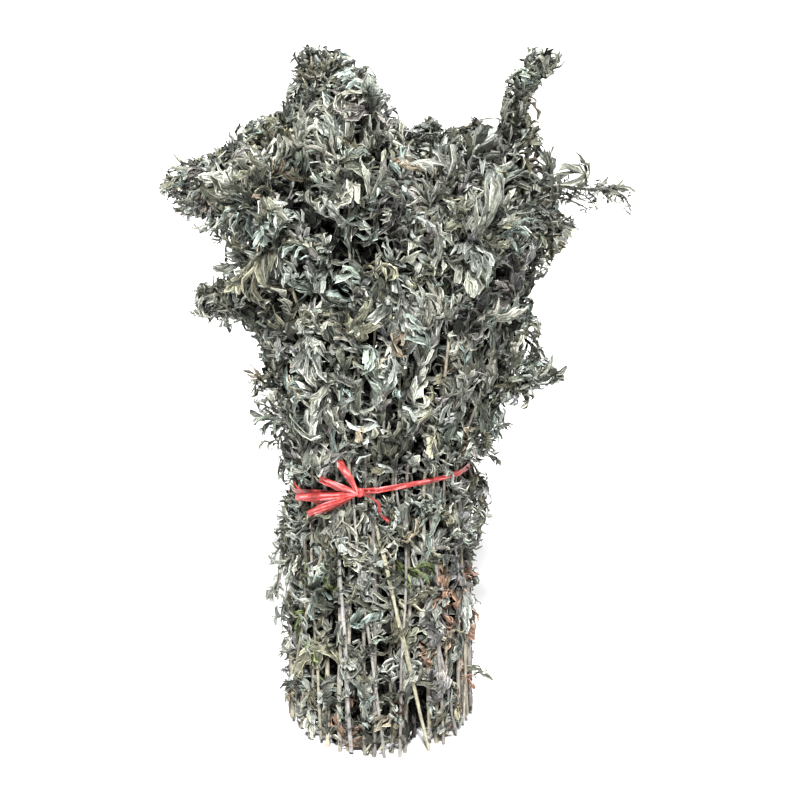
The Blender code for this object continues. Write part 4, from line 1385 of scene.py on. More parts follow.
def straggles(points):
    """For each leaf, whether any of its points stands out of the bunch further than its neighbours."""
    allowed = ring_reach(points) + np.interp(points[..., 2], OUT_HEIGHTS, OUT_REACH)
    return (np.hypot(points[..., 0], points[..., 1]) > allowed).any(-1)


def outside(points):
    """For each leaf, whether any of its points stands over the crown or out of its sides."""
    x, y, height = points[..., 0], points[..., 1], points[..., 2]
    wrong = height > np.interp(x, CROWN_ACROSS, CROWN_TOPS) - CROWN_FALL_TO_BACK * y
    wrong |= x < -np.interp(height, SIDE_HEIGHTS, LEFT_REACH)
    wrong |= x > np.interp(height, SIDE_HEIGHTS, RIGHT_REACH)
    return wrong.any(-1)


def no_room(points, cover):
    """For each leaf, whether any of its points hides the ribbon, sinks into the floor or leaves the box."""
    i, j, near, reach = cover_cells(points)
    wrong = near & (reach > cover[i, j])
    wrong |= points[..., 2] < FLOOR_GAP
    wrong |= (points < LOW_LIMIT).any(-1) | (points > HIGH_LIMIT).any(-1)
    return wrong.any(-1)


# Where the tall head stands at the crown, how wide it is there, and how high the crown is round it
TOWER_CROWN = TOWER_AT * CROWN_SPREAD + Vector((CROWN_LEAN, 0))
TOWER_REACH = 0.055
CROWN_LEVEL = 0.440
# Painted shade: how light the leaves are painted at these depths in the bunch, and the power at which their
# tones follow
SHADE_DEPTHS = (-0.002, 0.007, 0.020)
SHADES = (1.0, 0.45, 0.045)
GLOOM = 1.35


def painted_depth_shade(points):
    """Painted shade at each point: the deeper in the bunch it lies, the darker its tone is painted. points:
    any, 3.
    """
    x, y, height = points[..., 0], points[..., 1], points[..., 2]
    over_tower = np.hypot(x - TOWER_CROWN[0], y - TOWER_CROWN[1]) / TOWER_REACH
    top = CROWN_LEVEL + TOWER_RISE * np.clip(1 - over_tower ** 2, 0, 1)
    depth = np.minimum(ring_reach(points) - np.hypot(x, y), top - height)
    return np.interp(depth, SHADE_DEPTHS, SHADES)[..., None]


# How often a leaf is drawn to find room
DRAWS = 5
# A leaf lies deep in the bunch where none of its points has painted shade as light as this
SUNK_SHADE = 0.60
# Crushed leaves inside the bunch are painted darker than DARK, and lie where the painted shade is darker than
# INSIDE_SHADE
DARK, INSIDE_SHADE = 0.5, 0.71
# Painted shade: the factors that darken the tones of leaves that lie deep and of the crushed ones
SUNK_PAINTED_SHADE, CRUSHED_PAINTED_SHADE = 0.9, 0.09


def draw_extra(wanted, draw, rng, cover, form, painted_dim, sunk=None):
    """Leaves for these wishes that have room, redrawn closer to the stem where they have none. Wishes for
    leaves that lie deep in the bunch go into sunk instead."""
    kept = []
    for attempt in range(DRAWS):
        if not wanted:
            break
        leaves = [
            dress(small_leaf(wish, draw, attempt), draw, wish["habit"], wish["tone"], painted_dim) for wish in wanted
        ]
        rib, lobe = leaf_grids(leaves, rng, form)
        points = all_points(rib, lobe)
        if sunk is not None:
            buried = painted_depth_shade(points)[..., 0].max(-1) < SUNK_SHADE
            sunk += compress(wanted, buried)
            leaves, wanted = list(compress(leaves, ~buried)), list(compress(wanted, ~buried))
            rib, lobe, points = rib[~buried], lobe[~buried], points[~buried]
        free = np.array([wish["share"] > wish["stem"]["free_from"] for wish in wanted], bool)
        wrong = no_room(points, cover) | outside(points) | (straggles(points) & ~free)
        # Leaves painted this dark as shade must lie inside the bunch
        if painted_dim < DARK:
            wrong |= painted_depth_shade(points)[..., 0].mean(-1) > INSIDE_SHADE
        if not wrong.all():
            kept.append((list(compress(leaves, ~wrong)), rib[~wrong], lobe[~wrong]))
        wanted = list(compress(wanted, wrong))
    return kept


# How much a leaf of the plain solid shrivels, how often it is drawn in where it stands out, and what changes
SHRIVELLED = 0.86
DRAW_INS = 5
DRAWN_IN = (("length", 0.86), ("width", 0.88), ("curl", 1.1))


def settled_leaves(plant, draw, rng, cover):
    """The leaves of the plain solid, drawn in where they stand far out of the bunch or hide the ribbon."""
    leaves = [dress(dict(leaf), draw) for stem in plant["stems"] for leaf in stem["leaves"]]
    for leaf in leaves:
        leaf["length"] *= SHRIVELLED
        leaf["width"] *= SHRIVELLED
    on_spray = np.array([leaf["on_spray"] for leaf in leaves])
    for _ in range(DRAW_INS):
        state = rng.bit_generator.state
        rib, lobe = leaf_grids(leaves, rng, NEAR)
        points = all_points(rib, lobe)
        far = outside(points) | (straggles(points) & ~on_spray) | no_room(points, cover)
        if not far.any():
            break
        rng.bit_generator.state = state
        for leaf in compress(leaves, far):
            for key, factor in DRAWN_IN:
                leaf[key] *= factor
    return leaves, rib, lobe


# Leaves of a spray that grow over this height may stand out, and wished leaves up to this length are small
SPRAYS_FROM = 0.3
SMALL_LENGTH = 0.030


def clothe(piece, plant, index, cover):
    """The fine leaves of a plant: those of the plain solid, and many more between them."""
    draw = random.Random(SEED * 500000 + index)
    rng = np.random.default_rng(SEED * 600000 + index)
    for stem in plant["stems"]:
        for leaf in stem["leaves"]:
            leaf["on_spray"] = stem.get("spray", False) and leaf["root"].z > SPRAYS_FROM
    kept = [settled_leaves(plant, draw, rng, cover)]
    near, deep, sunk = [], [], []
    for stem in plant["stems"]:
        near += outer_wishes(stem, draw) if stem["outer"] else inner_wishes(stem, draw)
        for shoot in stem["shoots"]:
            near += shoot_wishes(shoot, draw)
        deep += deep_wishes(stem, draw)
    large = [wish for wish in near if wish["lengths"][1] > SMALL_LENGTH]
    small = [wish for wish in near if wish["lengths"][1] <= SMALL_LENGTH]
    kept += draw_extra(large, draw, rng, cover, NEAR, 1.0, sunk)
    kept += draw_extra(small, draw, rng, cover, SMALL, 1.0, sunk)
    # Leaves that lie deep and the crushed ones are painted darker, as painted shade in the gaps of the bunch
    kept += draw_extra(sunk, draw, rng, cover, DEEP, SUNK_PAINTED_SHADE)
    kept += draw_extra(deep, draw, rng, cover, DEEP, CRUSHED_PAINTED_SHADE)
    for leaves, rib, lobe in kept:
        add_leaves(piece, leaves, rib, lobe, rng)


# Painted shade and light: how light a leaf's rib is painted from its root on, how much a lobe's tone may
# differ from its leaf's, how much darker a lobe is painted at its start and how light at its tip
RIB_SHADE = (0.42, 0.92)
LOBE_SHADE = (0.50, 1.46)
ROOT_PAINTED_SHADE = (0.35, 1.0)
TIP_SHADE = 1.12


def add_leaves(piece, leaves, rib, lobe, rng):
    """Ribs and lobes of these leaves, each lobe a little different in tone, with painted shade that darkens
    them near the rib and deep in the bunch.
    """
    tone = vectors(leaves, "tone")
    count, per_leaf, rows = lobe.shape[:3]
    # Painted shade: the rib is darker towards its root and deeper in the bunch
    rib_shade = np.linspace(*RIB_SHADE, rib.shape[1])[None, :, None]
    rib_shade = rib_shade * painted_depth_shade(rib.mean(axis=-2)) ** GLOOM
    piece.add_strips(rib, tone[:, None] * rib_shade, rng.uniform(0, 1, count), LEAF)
    each = rng.uniform(*LOBE_SHADE, (count, per_leaf, 1)) * tone[:, None]
    # Painted shade and light: each lobe is darker at its start, lighter at its tip, and darker deeper in the
    # bunch
    drift = np.linspace(0, 1, rows)[None, None, :, None]
    root_painted_shade = rng.uniform(*ROOT_PAINTED_SHADE, (count, per_leaf))[..., None, None]
    light = (TIP_SHADE - root_painted_shade * (1 - drift) ** 1.5) * painted_depth_shade(lobe.mean(axis=-2)) ** GLOOM
    piece.add_strips(
        lobe.reshape(count * per_leaf, rows, *lobe.shape[3:]),
        (each[:, :, None] * light).reshape(count * per_leaf, rows, 3),
        rng.uniform(0, 1, count * per_leaf),
        LEAF,
    )


# Fine stems
STEM_TONES = ((0.24, 0.215, 0.20), (0.31, 0.285, 0.24), (0.34, 0.31, 0.235), (0.19, 0.18, 0.135))
PITH = (0.52, 0.44, 0.30)
# How much lighter or darker than its tone a stem is, how much darker the inner stems are painted than the
# outer ones, as painted shade inside the bunch, and how light a side shoot is against its stem
STEM_SHADE = (0.70, 1.20)
INNER_STEM_PAINTED_SHADE = 0.25
SHOOT_LIGHT = 1.2
# How much slimmer a fine stem is than its plain solid, and how wide its last ring is over the ones before
SLIM = (0.60, 0.92)
LAST_RING = 0.35
# The radius of a side shoot at its root, and how much less it is at its tip
SHOOT_RADIUS, SHOOT_TAPER = 0.0010, 0.0005
# How far the ridges of the bark stand out, over the radius
BARK_RIDGE = 0.10
# How many knuckles there are on a stem and between which shares of its length, how far they swell it, and
# over what share of its length
KNUCKLES, KNUCKLES_WITHIN = 14, (0.04, 0.98)
KNUCKLE_SWELL, KNUCKLE_REACH = 0.22, 0.012
# Rows and sides of the tubes: outer, inner and leaning stems, and side shoots
OUTER_TUBE, INNER_TUBE, LEANING_TUBE, SIDE_TUBE = (40, 8), (22, 6), (26, 6), (10, 6)
# How far an outer stem sways, and an inner or a leaning one
OUTER_SWAY, INNER_SWAY = 0.0017, 0.0008


def add_tube(piece, knots, radius_at, tube, spin, sway, tone, draw):
    """A ridged woody stem with knuckles where its leaves grow, cut level at the foot. It sways round the
    bunch and not out of it. radius_at takes a share of the stem and the point of its middle line there."""
    rows, sides = tube
    last = rows - 1
    shares = [k / last for k in range(rows)]
    centres = [on_curve(knots, share) for share in shares]
    knuckles = [draw.uniform(*KNUCKLES_WITHIN) for _ in range(KNUCKLES)]
    phases = [draw.uniform(0, 6.28) for _ in range(2)]
    seed = draw.random()
    round_bunch = Vector((-knots[2].y, knots[2].x, 0.0)).normalized()
    for i, share in enumerate(shares):
        wave = math.sin(9 * share + phases[0]) + 0.5 * math.sin(23 * share + phases[1])
        centres[i] = centres[i] + round_bunch * (sway * wave * min(share * 6, 1.0))
    points, tones = [], []
    for i, (share, centre) in enumerate(zip(shares, centres)):
        along = (centres[min(i + 1, last)] - centres[max(i - 1, 0)]).normalized() if i else Vector((0, 0, 1))
        side = (spin - along * spin.dot(along)).normalized()
        front = along.cross(side)
        near = min(abs(share - knuckle) for knuckle in knuckles)
        swell = 1 + KNUCKLE_SWELL * max(0.0, 1 - near / KNUCKLE_REACH)
        end = LAST_RING if i == last else 1.0
        reach = radius_at(share, centre) * swell * end
        for k in range(sides):
            turn = 2 * math.pi * k / sides
            ridge = 1 + BARK_RIDGE * (-1) ** k
            points.append(centre + (side * math.cos(turn) + front * math.sin(turn)) * (reach * ridge))
            tones.append(tone * (1 + 0.18 * math.sin(19 * share + 6 * seed)))
    faces = []
    for i in range(last):
        for k in range(sides):
            n = (k + 1) % sides
            a, b = i * sides, (i + 1) * sides
            faces.append((a + k, a + n, b + n, b + k))
    faces.append(tuple(last * sides + k for k in range(sides)))
    piece.add(points, faces, tones, BARK)
    pith = np.array(PITH) * draw.uniform(0.6, 1.1)
    piece.add(points[:sides], [tuple(reversed(range(sides)))], pith, BARK)


def side_shoot_radius(share, centre):
    return SHOOT_RADIUS - SHOOT_TAPER * share


def add_stem(piece, stem, draw):
    """A stem and its side shoots."""
    tip = max(point.z for point in stem["knots"])
    slim = draw.uniform(*SLIM)

    def radius_at(share, centre):
        taper = STEM_FOOT_RADIUS + (STEM_TIP_RADIUS - STEM_FOOT_RADIUS) * centre.z / tip
        return taper * stem["scale"] * slim

    tone = np.array(draw.choice(STEM_TONES)) * draw.uniform(*STEM_SHADE)
    # The inner stems are painted dark, as painted shade inside the bunch
    tone = tone * (1.0 if stem["outer"] else INNER_STEM_PAINTED_SHADE)
    tube, sway = (OUTER_TUBE, OUTER_SWAY) if stem["outer"] else (INNER_TUBE, INNER_SWAY)
    add_tube(piece, stem["knots"], radius_at, tube, stem["spin"], sway, tone, draw)
    for shoot in stem["shoots"]:
        spin = Vector((1, 0, 0))
        light = tone * SHOOT_LIGHT
        add_tube(piece, shoot["knots"], side_shoot_radius, SIDE_TUBE, spin, 0.0, light, draw)


# Stems of the same plants that lean across the others on the front: azimuth in degrees at the tie and at
# the cut end, height of the cut end, radius there, and tone
LEANING_STEMS = (
    (-96, -59, 0.0005, 0.0013, (0.37, 0.35, 0.25)),
    (-78, -36, 0.004, 0.0014, (0.25, 0.23, 0.225)),
    (-118, -107, 0.004, 0.0018, (0.33, 0.32, 0.31)),
    (-107, -87, 0.0005, 0.0013, (0.27, 0.255, 0.23)),
    (-117, -166, 0.006, 0.0012, (0.32, 0.29, 0.21)),
    (-47, -5, 0.010, 0.0012, (0.25, 0.235, 0.22)),
    (-141, -128, 0.008, 0.0013, (0.28, 0.26, 0.20)),
    (-72, -78, 0.0005, 0.0013, (0.24, 0.225, 0.205)),
    (-55, -48, 0.002, 0.0012, (0.23, 0.21, 0.19)),
    (-30, -20, 0.010, 0.0012, (0.28, 0.25, 0.19)),
)
# Between these azimuths, in degrees, a stem is on the front
FRONT_FROM, FRONT_TO = -150, -20
# On the other sides this share of the outer stems have one drawn at random: how many degrees it may be off
# its stem at the tie and turn on its way down, the height of its cut end, its radius there, and its shade
LEANING_SHARE = 0.55
LEANING_OFF, LEANING_TURN = 3, 32
LEANING_FEET = (0.0005, 0.014)
LEANING_RADII = (0.0011, 0.0016)
LEANING_SHADE = (0.7, 1.1)
# The shares of the way from its cut end to the tie, and on over it, at which its route is bent, and how much
# thinner it gets along it
LEANING_SHARES = (0.0, 0.35, 0.7, 1.0, 1.35, 1.8)
LEANING_TAPER = 0.4
# How far a leaning stem stands out from the others at the tie and well below it, from what depth in their
# ring, how fast it sinks in above the tie, and the height of its top
LEANING_OUT = (0.0005, 0.0075)
LEANING_DEPTH = 0.0028
LEANING_SINK = 0.010
LEANING_TOP = 0.36


def leaning_knots(tied, down, foot):
    """A stem that runs over the outer ring from the azimuth down at its cut end to tied at the tie, and in
    among the others above it."""
    waist = tie_plane(OUTER_RING_RADIUS * math.cos(tied), OUTER_RING_RADIUS * math.sin(tied))
    at_tie, at_foot = LEANING_OUT
    knots = []
    for share in LEANING_SHARES:
        below, above = max(1 - share, 0.0), max(share - 1, 0)
        turn = tied + (down - tied) * below
        out = at_tie + (at_foot - at_tie) * min(below * 3, 1.0) - LEANING_SINK * above
        height = foot + (waist - foot) * share
        if above:
            height = waist + (LEANING_TOP - waist) * above / (LEANING_SHARES[-1] - 1)
        at = radial(turn, OUTER_RING_RADIUS - LEANING_DEPTH, 0)
        knots.append(fanned(at.x, at.y, height) + radial(turn, out, 0))
    return knots


def add_leaning_stems(piece, stem, draw):
    """Thin stems of the same plant, which lean across the others below the tie."""
    azimuth = stem_azimuth(stem)
    leaning = [found for found in LEANING_STEMS if stands_at(stem, found[0])]
    on_front = FRONT_FROM < azimuth < FRONT_TO
    if not on_front and draw.random() < LEANING_SHARE:
        tone = np.array(draw.choice(STEM_TONES)) * draw.uniform(*LEANING_SHADE)
        tied = azimuth + draw.uniform(-LEANING_OFF, LEANING_OFF)
        foot = draw.uniform(*LEANING_FEET)
        down = tied + draw.uniform(-LEANING_TURN, LEANING_TURN)
        leaning.append((tied, down, foot, draw.uniform(*LEANING_RADII), tone))
    for tied, down, foot, thick, tone in leaning:

        def radius_at(share, centre):
            return thick * (1.0 - LEANING_TAPER * share)

        knots = leaning_knots(math.radians(tied), math.radians(down), foot)
        add_tube(piece, knots, radius_at, LEANING_TUBE, stem["spin"], INNER_SWAY, np.array(tone), draw)


# Film ribbon: columns of points across it, its thickness, the length between its rows, the height of its
# pleats, and the rows and points of its knot
FILM_COLUMNS = 11
FILM_THICKNESS = 0.00030
FILM_STEP = 0.0016
PLEAT = 0.00042
KNOT_ROWS, KNOT_AROUND = 13, 20
# How far the two halves of a loop part, and the angles by which loops and tails twist
LOOP_GAPE = 0.0011
LOOP_TWIST, TAIL_TWIST = (-0.35, 0.35), (0.7, 1.1)


def film_frames(route, twist):
    """The route's middle line, evenly spaced and smooth, with the ways across it and out of its face."""
    points, faces_out, _, _, closed = route
    if closed:
        points, faces_out = points + points[:1], faces_out + faces_out[:1]
    length = sum((b - a).length for a, b in zip(points, points[1:]))
    count = max(int(length / FILM_STEP), 8)
    middle = [on_curve(points, k / count) for k in range(count + 1)]
    outs = [on_curve(faces_out, k / count) for k in range(count + 1)]
    centres, across, up = [], [], []
    for k in range(count + 1):
        ahead = middle[min(k + 1, count)] - middle[max(k - 1, 0)]
        if closed and k in (0, count):
            ahead = middle[1] - middle[count - 1]
        ahead.normalize()
        out = (outs[k] - ahead * outs[k].dot(ahead)).normalized()
        out = Matrix.Rotation(twist * math.sin(2 * math.pi * k / count), 3, ahead) @ out
        centres.append(tuple(middle[k]))
        up.append(tuple(out))
        across.append(tuple(ahead.cross(out)))
    return np.array(centres), np.array(across), np.array(up)


def band_width(run):
    return np.ones_like(run)


def loop_width(run):
    """Gathered where the loop leaves the knot and comes back to it, broad between, and rounded at its end."""
    return 0.40 + 0.14 * np.sin(math.pi * run) + 0.85 * np.abs(np.sin(2 * math.pi * run)) ** 0.7


def tail_width(run):
    return 1.15 - 0.45 * run


def film(route, rng, width_at, twist=0.0, gape=0.0):
    """Two pleated faces of a length of film, as one closed grid of rows and columns, and how high each of
    its points stands in a pleat. gape is how far a loop's two halves part."""
    width, closed = route[2], route[4]
    centres, across, up = film_frames(route, twist)
    rows = len(centres)
    run = np.linspace(0, 1, rows)[:, None]
    columns = np.linspace(-1, 1, FILM_COLUMNS)[None]
    turns = rng.integers(2, 7, 4) if closed else rng.uniform(0.4, 1.6, 4)
    phases = rng.uniform(0, 6.3, 4)
    waver = [np.sin(2 * math.pi * turns[k] * run + phases[k]) for k in range(4)]
    pleat = np.sin(math.pi * (1.5 + 0.6 * waver[0]) * columns + 2.6 * waver[1] + phases[2])
    crinkle = rng.uniform(-1, 1, (rows, FILM_COLUMNS))
    if closed:
        crinkle[-1] = crinkle[0]
    lift = PLEAT * (pleat * (0.8 + 0.3 * waver[2]) + 0.22 * crinkle)
    pinch = (1 + 0.13 * waver[3] + 0.05 * crinkle[:, :1]) * width_at(run)
    aside = columns * width / 2 * pinch + gape * np.sin(2 * math.pi * run)
    sheet = centres[:, None] + across[:, None] * aside[..., None] + up[:, None] * lift[..., None]
    half = up[:, None] * FILM_THICKNESS / 2
    grid = np.concatenate([sheet + half, (sheet - half)[:, ::-1]], axis=1)
    raised = np.clip(0.5 + 0.5 * pleat + 0.2 * crinkle, 0, 1)
    return grid, np.concatenate([raised, 1 - raised[:, ::-1]], axis=1), closed


def add_film(piece, grid, raised, closed, seed):
    """One closed length of film: its rows are rings that go over the top and back under the bottom."""
    rows, around = grid.shape[:2]
    used = rows - 1 if closed else rows
    marks = np.zeros((used, around, 3))
    marks[..., 0] = np.arange(used)[:, None] * FILM_STEP
    marks[..., 1] = raised[:used]
    marks[..., 2] = seed
    faces = []
    for i in range(rows - 1):
        a, b = i * around, ((i + 1) % used) * around
        for k in range(around):
            n = (k + 1) % around
            faces.append((a + k, b + k, b + n, a + n))
    if not closed:
        top = around // 2
        for row, flip in ((0, False), (rows - 1, True)):
            for k in range(top - 1):
                base = row * around
                quad = (base + k, base + k + 1, base + around - 2 - k, base + around - 1 - k)
                faces.append(quad[::-1] if flip else quad)
    piece.add(grid[:used], faces, np.ones(3), FILM, marks.reshape(-1, 3))


def knot_grid(route, rng):
    """The knot: film wound over itself, as a creased drum."""
    points, faces_out, width, thickness, _ = route
    rows, around = KNOT_ROWS, KNOT_AROUND
    axis = (points[-1] - points[0]).normalized()
    out = faces_out[0]
    wide = axis.cross(out)
    length = (points[-1] - points[0]).length
    middle = (points[-1] + points[0]) / 2
    rings = []
    for i in range(rows):
        t = -1 + 2 * i / (rows - 1)
        round_end = max(1 - abs(t) ** 3, 0.0) ** 0.5 * 0.75 + 0.25
        ring = []
        for k in range(around):
            turn = 2 * math.pi * k / around
            ripple = 1 + 0.07 * math.sin(3 * turn + 4 * t) + 0.05 * (-1) ** k + rng.uniform(-0.03, 0.03)
            c, s = math.cos(turn), math.sin(turn)
            a = width / 2 * round_end * ripple * abs(c) ** 0.8 * (1 if c > 0 else -1)
            b = thickness / 2 * round_end * ripple * abs(s) ** 0.8 * (1 if s > 0 else -1)
            ring.append(tuple(middle + axis * (t * length / 2) + wide * a + out * b))
        rings.append(ring)
    return np.array(rings), rng.uniform(0, 1, (rows, around)), False


# Materials
class Nodes:
    """Short ways to add shader nodes to a material and link them."""

    def __init__(self, name):
        self.material = bpy.data.materials.new(name)
        self.material.use_nodes = True
        self.tree = self.material.node_tree
        self.surface = self.tree.nodes["Principled BSDF"].inputs

    def feed(self, inputs, values):
        """Sets or links inputs by their places or names."""
        for key, value in values.items():
            if hasattr(value, "is_output"):
                self.tree.links.new(value, inputs[key])
            else:
                inputs[key].default_value = value

    def new(self, kind, values, **settings):
        """The outputs of a new node. values are for its first inputs in turn, or for inputs by name."""
        node = self.tree.nodes.new("ShaderNode" + kind)
        for key, value in settings.items():
            setattr(node, key, value)
        self.feed(node.inputs, values if isinstance(values, dict) else dict(enumerate(values)))
        return node.outputs

    def math(self, operation, *values):
        return self.new("Math", values, operation=operation)[0]

    def ramp(self, value, low, high, to_low=0.0, to_high=1.0):
        return self.new("MapRange", (value, low, high, to_low, to_high), interpolation_type="SMOOTHSTEP")[0]

    def noise(self, vector, scale, detail=3.0):
        values = {"Vector": vector, "Scale": scale, "Detail": detail, "Roughness": 0.6}
        return self.new("TexNoise", values)["Fac"]

    def scaled(self, colour, factor):
        """The colour times a factor."""
        return self.new("VectorMath", {0: colour, "Scale": factor}, operation="SCALE")[0]

    def mixed(self, factor, first, second):
        return self.new("Mix", {0: factor, 6: first, 7: second}, data_type="RGBA")[2]

    def stretched(self, *parts):
        """A vector of these parts, each times its factor."""
        return self.new("CombineXYZ", [self.math("MULTIPLY", *part) for part in parts])[0]

    def where(self):
        return self.new("TexCoord", ())["Object"]

    def tone(self):
        return self.new("Attribute", (), attribute_name="tone")["Color"]

    def blade(self):
        """A point's place along its blade and across it, and the blade's seed."""
        place = self.new("Attribute", (), attribute_name="blade")["Vector"]
        return self.new("SeparateXYZ", (place,))

    def bump(self, height, strength, distance):
        values = {"Height": height, "Strength": strength, "Distance": distance}
        self.feed(self.surface, {"Normal": self.new("Bump", values)[0]})

    def coated(self, colour, roughness, specular):
        """The material with this surface."""
        values = {"Base Color": colour, "Roughness": roughness, "Specular IOR Level": specular}
        self.feed(self.surface, values)
        return self.material


def leaf_material():
    """Dry felted leaf: pale along its rib and its rolled edges, veined, mottled and crinkled."""
    n = Nodes("dried mugwort leaf")
    where = n.where()
    along, across, seed = n.blade()
    off = n.math("ABSOLUTE", across)
    mottle = n.noise(where, 420.0, 4.0)
    patch = n.noise(where, 75.0, 2.0)
    streak = n.noise(n.stretched((along, 2.2), (across, 4.2), (seed, 60.0)), 1.0)
    rib = n.ramp(off, 0.22, 0.0)
    edge = n.ramp(off, 0.66, 1.0)
    vein = n.math("SINE", n.math("MULTIPLY", n.math("SUBTRACT", n.math("MULTIPLY", along, 7.0), off), 6.28))
    light = n.math("MULTIPLY_ADD", edge, 0.78, n.math("MULTIPLY_ADD", rib, 0.26, 0.44))
    light = n.math("MULTIPLY_ADD", vein, 0.05, light)
    light = n.math("MULTIPLY", light, n.ramp(mottle, 0.25, 0.75, 0.70, 1.30))
    light = n.math("MULTIPLY", light, n.ramp(streak, 0.37, 0.63, 0.46, 1.66))
    olive = n.scaled((0.90, 0.84, 0.50), n.math("MULTIPLY", light, 0.25))
    colour = n.mixed(n.ramp(patch, 0.55, 0.80, 0.0, 0.35), n.scaled(n.tone(), light), olive)
    n.bump(n.math("MULTIPLY_ADD", vein, 0.25, n.noise(where, 900.0)), 0.7, 0.0005)
    return n.coated(colour, n.ramp(mottle, 0.2, 0.8, 0.95, 0.72), 0.25)


def stem_material():
    """Dry woody stem with fine lengthwise grooves and darker flecks."""
    n = Nodes("dried mugwort stem")
    where = n.where()
    lengthwise = n.new("VectorMath", (where, (1.0, 1.0, 0.06)), operation="MULTIPLY")[0]
    groove = n.noise(lengthwise, 1800.0)
    fleck = n.noise(where, 260.0)
    light = n.math("MULTIPLY", n.ramp(groove, 0.3, 0.7, 0.7, 1.3), n.ramp(fleck, 0.3, 0.75, 1.15, 0.65))
    n.bump(groove, 0.6, 0.0004)
    return n.coated(n.scaled(n.tone(), light), n.ramp(groove, 0.2, 0.8, 0.85, 0.6), 0.3)


def film_material():
    """Thin red film drawn into lengthwise pleats: painted shade makes it dark red in the hollows of the
    pleats, and the pink along their ridges is partly film stretched pale and partly a painted highlight.
    """
    n = Nodes("red film")
    along, raised, seed = n.blade()
    crease = n.noise(n.stretched((along, 90.0), (raised, 4.0), (seed, 40.0)), 1.0)
    patch = n.noise(n.where(), 90.0, 2.0)
    deep, red, pink = (0.17, 0.006, 0.008, 1), (0.50, 0.040, 0.026, 1), (0.80, 0.25, 0.27, 1)
    # Painted shade: dark red in the hollows of the pleats and in some patches, red towards their ridges
    lit = n.math("MULTIPLY", n.ramp(raised, 0.0, 0.45), n.ramp(patch, 0.36, 0.56, 0.25, 1.0))
    # Pink along the ridges and some creases: partly stretched film, partly a painted highlight
    ridge = n.math("MULTIPLY", n.ramp(raised, 0.55, 1.0), n.ramp(patch, 0.48, 0.60))
    pale = n.math("MAXIMUM", ridge, n.math("MULTIPLY", n.ramp(crease, 0.58, 0.72), 0.7))
    n.feed(n.surface, {"Coat Weight": 0.2, "Coat Roughness": 0.2})
    n.bump(crease, 0.6, 0.0004)
    return n.coated(n.mixed(pale, n.mixed(lit, deep, red), pink), n.ramp(crease, 0.2, 0.8, 0.50, 0.28), 0.5)


# Studio
FLOOR_HALF = 400.0


def add_floor():
    mesh = bpy.data.meshes.new("floor")
    corners = [(x * FLOOR_HALF, y * FLOOR_HALF, 0) for x, y in ((-1, -1), (1, -1), (1, 1), (-1, 1))]
    mesh.from_pydata(corners, [], [(0, 1, 2, 3)])
    mesh.materials.append(Nodes("pale floor").coated((0.90, 0.90, 0.895, 1), 0.9, 0.1))
    floor = placed("floor", mesh)
    floor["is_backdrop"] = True


# Suns: where each shines towards, how many degrees wide it is, and its strength
SUNS = {
    "key": ((-0.01, 1.0, -1.15), 9, 7.2),
    "rim": ((0.20, -0.75, -1.0), 30, 2.9),
    "fill": ((-0.9, 0.45, -0.45), 40, 0.3),
}


def add_suns():
    for name, (towards, wide, strength) in SUNS.items():
        lamp = bpy.data.lights.new(name, "SUN")
        lamp.angle = math.radians(wide)
        lamp.energy = strength
        placed(name, lamp).rotation_euler = Vector(towards).to_track_quat("-Z", "Y").to_euler()


# The light of the studio fades from its walls to its ceiling between these shares of the way up
WALL_TOP = (0.09, 0.33)
WALL_LIGHT, CEILING_LIGHT = 1.0, 0.03


def add_walls():
    """Light from all round the studio, by the way up it comes from."""
    world = bpy.data.worlds.new("studio")
    world.use_nodes = True
    tree = world.node_tree
    where = tree.nodes.new("ShaderNodeTexCoord")
    parts = tree.nodes.new("ShaderNodeSeparateXYZ")
    fade = tree.nodes.new("ShaderNodeMapRange")
    fade.interpolation_type = "SMOOTHSTEP"
    for socket, value in zip(list(fade.inputs)[1:5], (*WALL_TOP, WALL_LIGHT, CEILING_LIGHT)):
        socket.default_value = value
    tree.links.new(where.outputs["Generated"], parts.inputs[0])
    tree.links.new(parts.outputs["Z"], fade.inputs[0])
    background = tree.nodes["Background"]
    background.inputs["Color"].default_value = (0.98, 0.985, 1.0, 1)
    tree.links.new(fade.outputs[0], background.inputs["Strength"])
    bpy.context.scene.world = world


# The camera: where it stands, how many degrees it looks down, and its lens and sensor in millimetres
CAMERA_AT = (0.016, -1.05, 0.58)
CAMERA_DOWN = 16.4
LENS, SENSOR = 62.9, 36.0


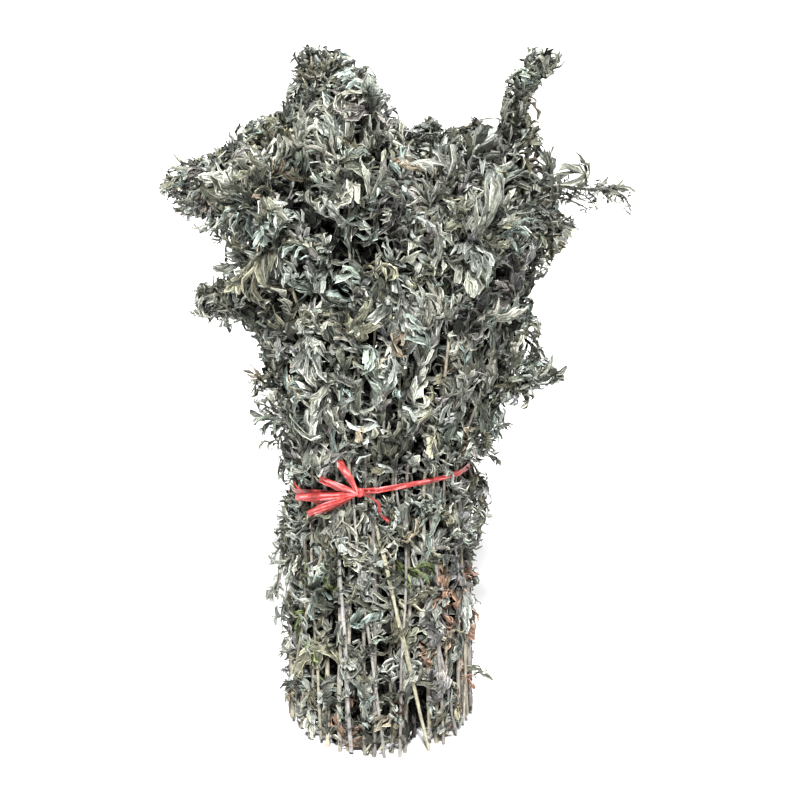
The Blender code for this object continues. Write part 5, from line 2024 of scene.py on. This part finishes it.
def add_camera():
    lens = bpy.data.cameras.new("camera")
    lens.lens = LENS
    lens.sensor_width = SENSOR
    camera = placed("camera", lens)
    camera.location = CAMERA_AT
    camera.rotation_euler = (math.radians(90 - CAMERA_DOWN), 0.0, 0.0)
    bpy.context.scene.camera = camera


def place_plants():
    """The part's stems and leaves, and the routes of its ribbon."""
    occupied = Occupied()
    plants = [outer_stem(i, occupied) for i in range(OUTER_STEMS)]
    plants += [inner_sheaf(i, *place, occupied) for i, place in enumerate(inner_places())]
    routes = ribbon_routes(plants)
    for route in routes:
        occupied.add("tie_ribbon", strip(*route))
    for index, plant in enumerate(plants):
        grow_leaves(plant, index, occupied)
    add_side_shoots(plants)
    return plants, routes


def add_ribbon(routes):
    """The ribbon as one piece. Returns the cover that keeps leaves from it."""
    rng = np.random.default_rng(SEED * 700000)
    ribbon = Piece("red_film_ribbon")
    band, drum, *bow = routes
    loops, tails = bow[:len(BOW_LOOPS)], bow[len(BOW_LOOPS):]
    films = [film(band, rng, band_width), knot_grid(drum, rng)]
    films += [film(route, rng, loop_width, rng.uniform(*LOOP_TWIST), LOOP_GAPE) for route in loops]
    films += [film(route, rng, tail_width, rng.uniform(*TAIL_TWIST)) for route in tails]
    for grid, raised, closed in films:
        add_film(ribbon, grid, raised, closed, rng.uniform(0, 1))

    made = ribbon.make([film_material()])
    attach(made, "root")
    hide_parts("tie_ribbon")
    return ribbon_cover([grid for grid, *_ in films])


def add_plants(plants, cover):
    """Each plant as one piece, its leaves clear of the ribbon's cover."""
    leaf, bark = leaf_material(), stem_material()
    for index, plant in enumerate(plants):
        draw = random.Random(SEED * 800000 + index)
        piece = Piece("dressed_" + plant["name"])
        for stem in plant["stems"]:
            add_stem(piece, stem, draw)
            if stem["outer"]:
                add_leaning_stems(piece, stem, draw)
        clothe(piece, plant, index, cover)
        made = piece.make([leaf, bark])
        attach(made, "root")
        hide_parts(plant["name"])


def add_bunch():
    plants, routes = place_plants()
    cover = add_ribbon(routes)
    add_plants(plants, cover)


add_bunch()
add_floor()
add_walls()
add_suns()
add_camera()
bpy.context.scene.view_settings.view_transform = "Standard"
[[list(corner) for corner in box] for box in (cad_box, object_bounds())]
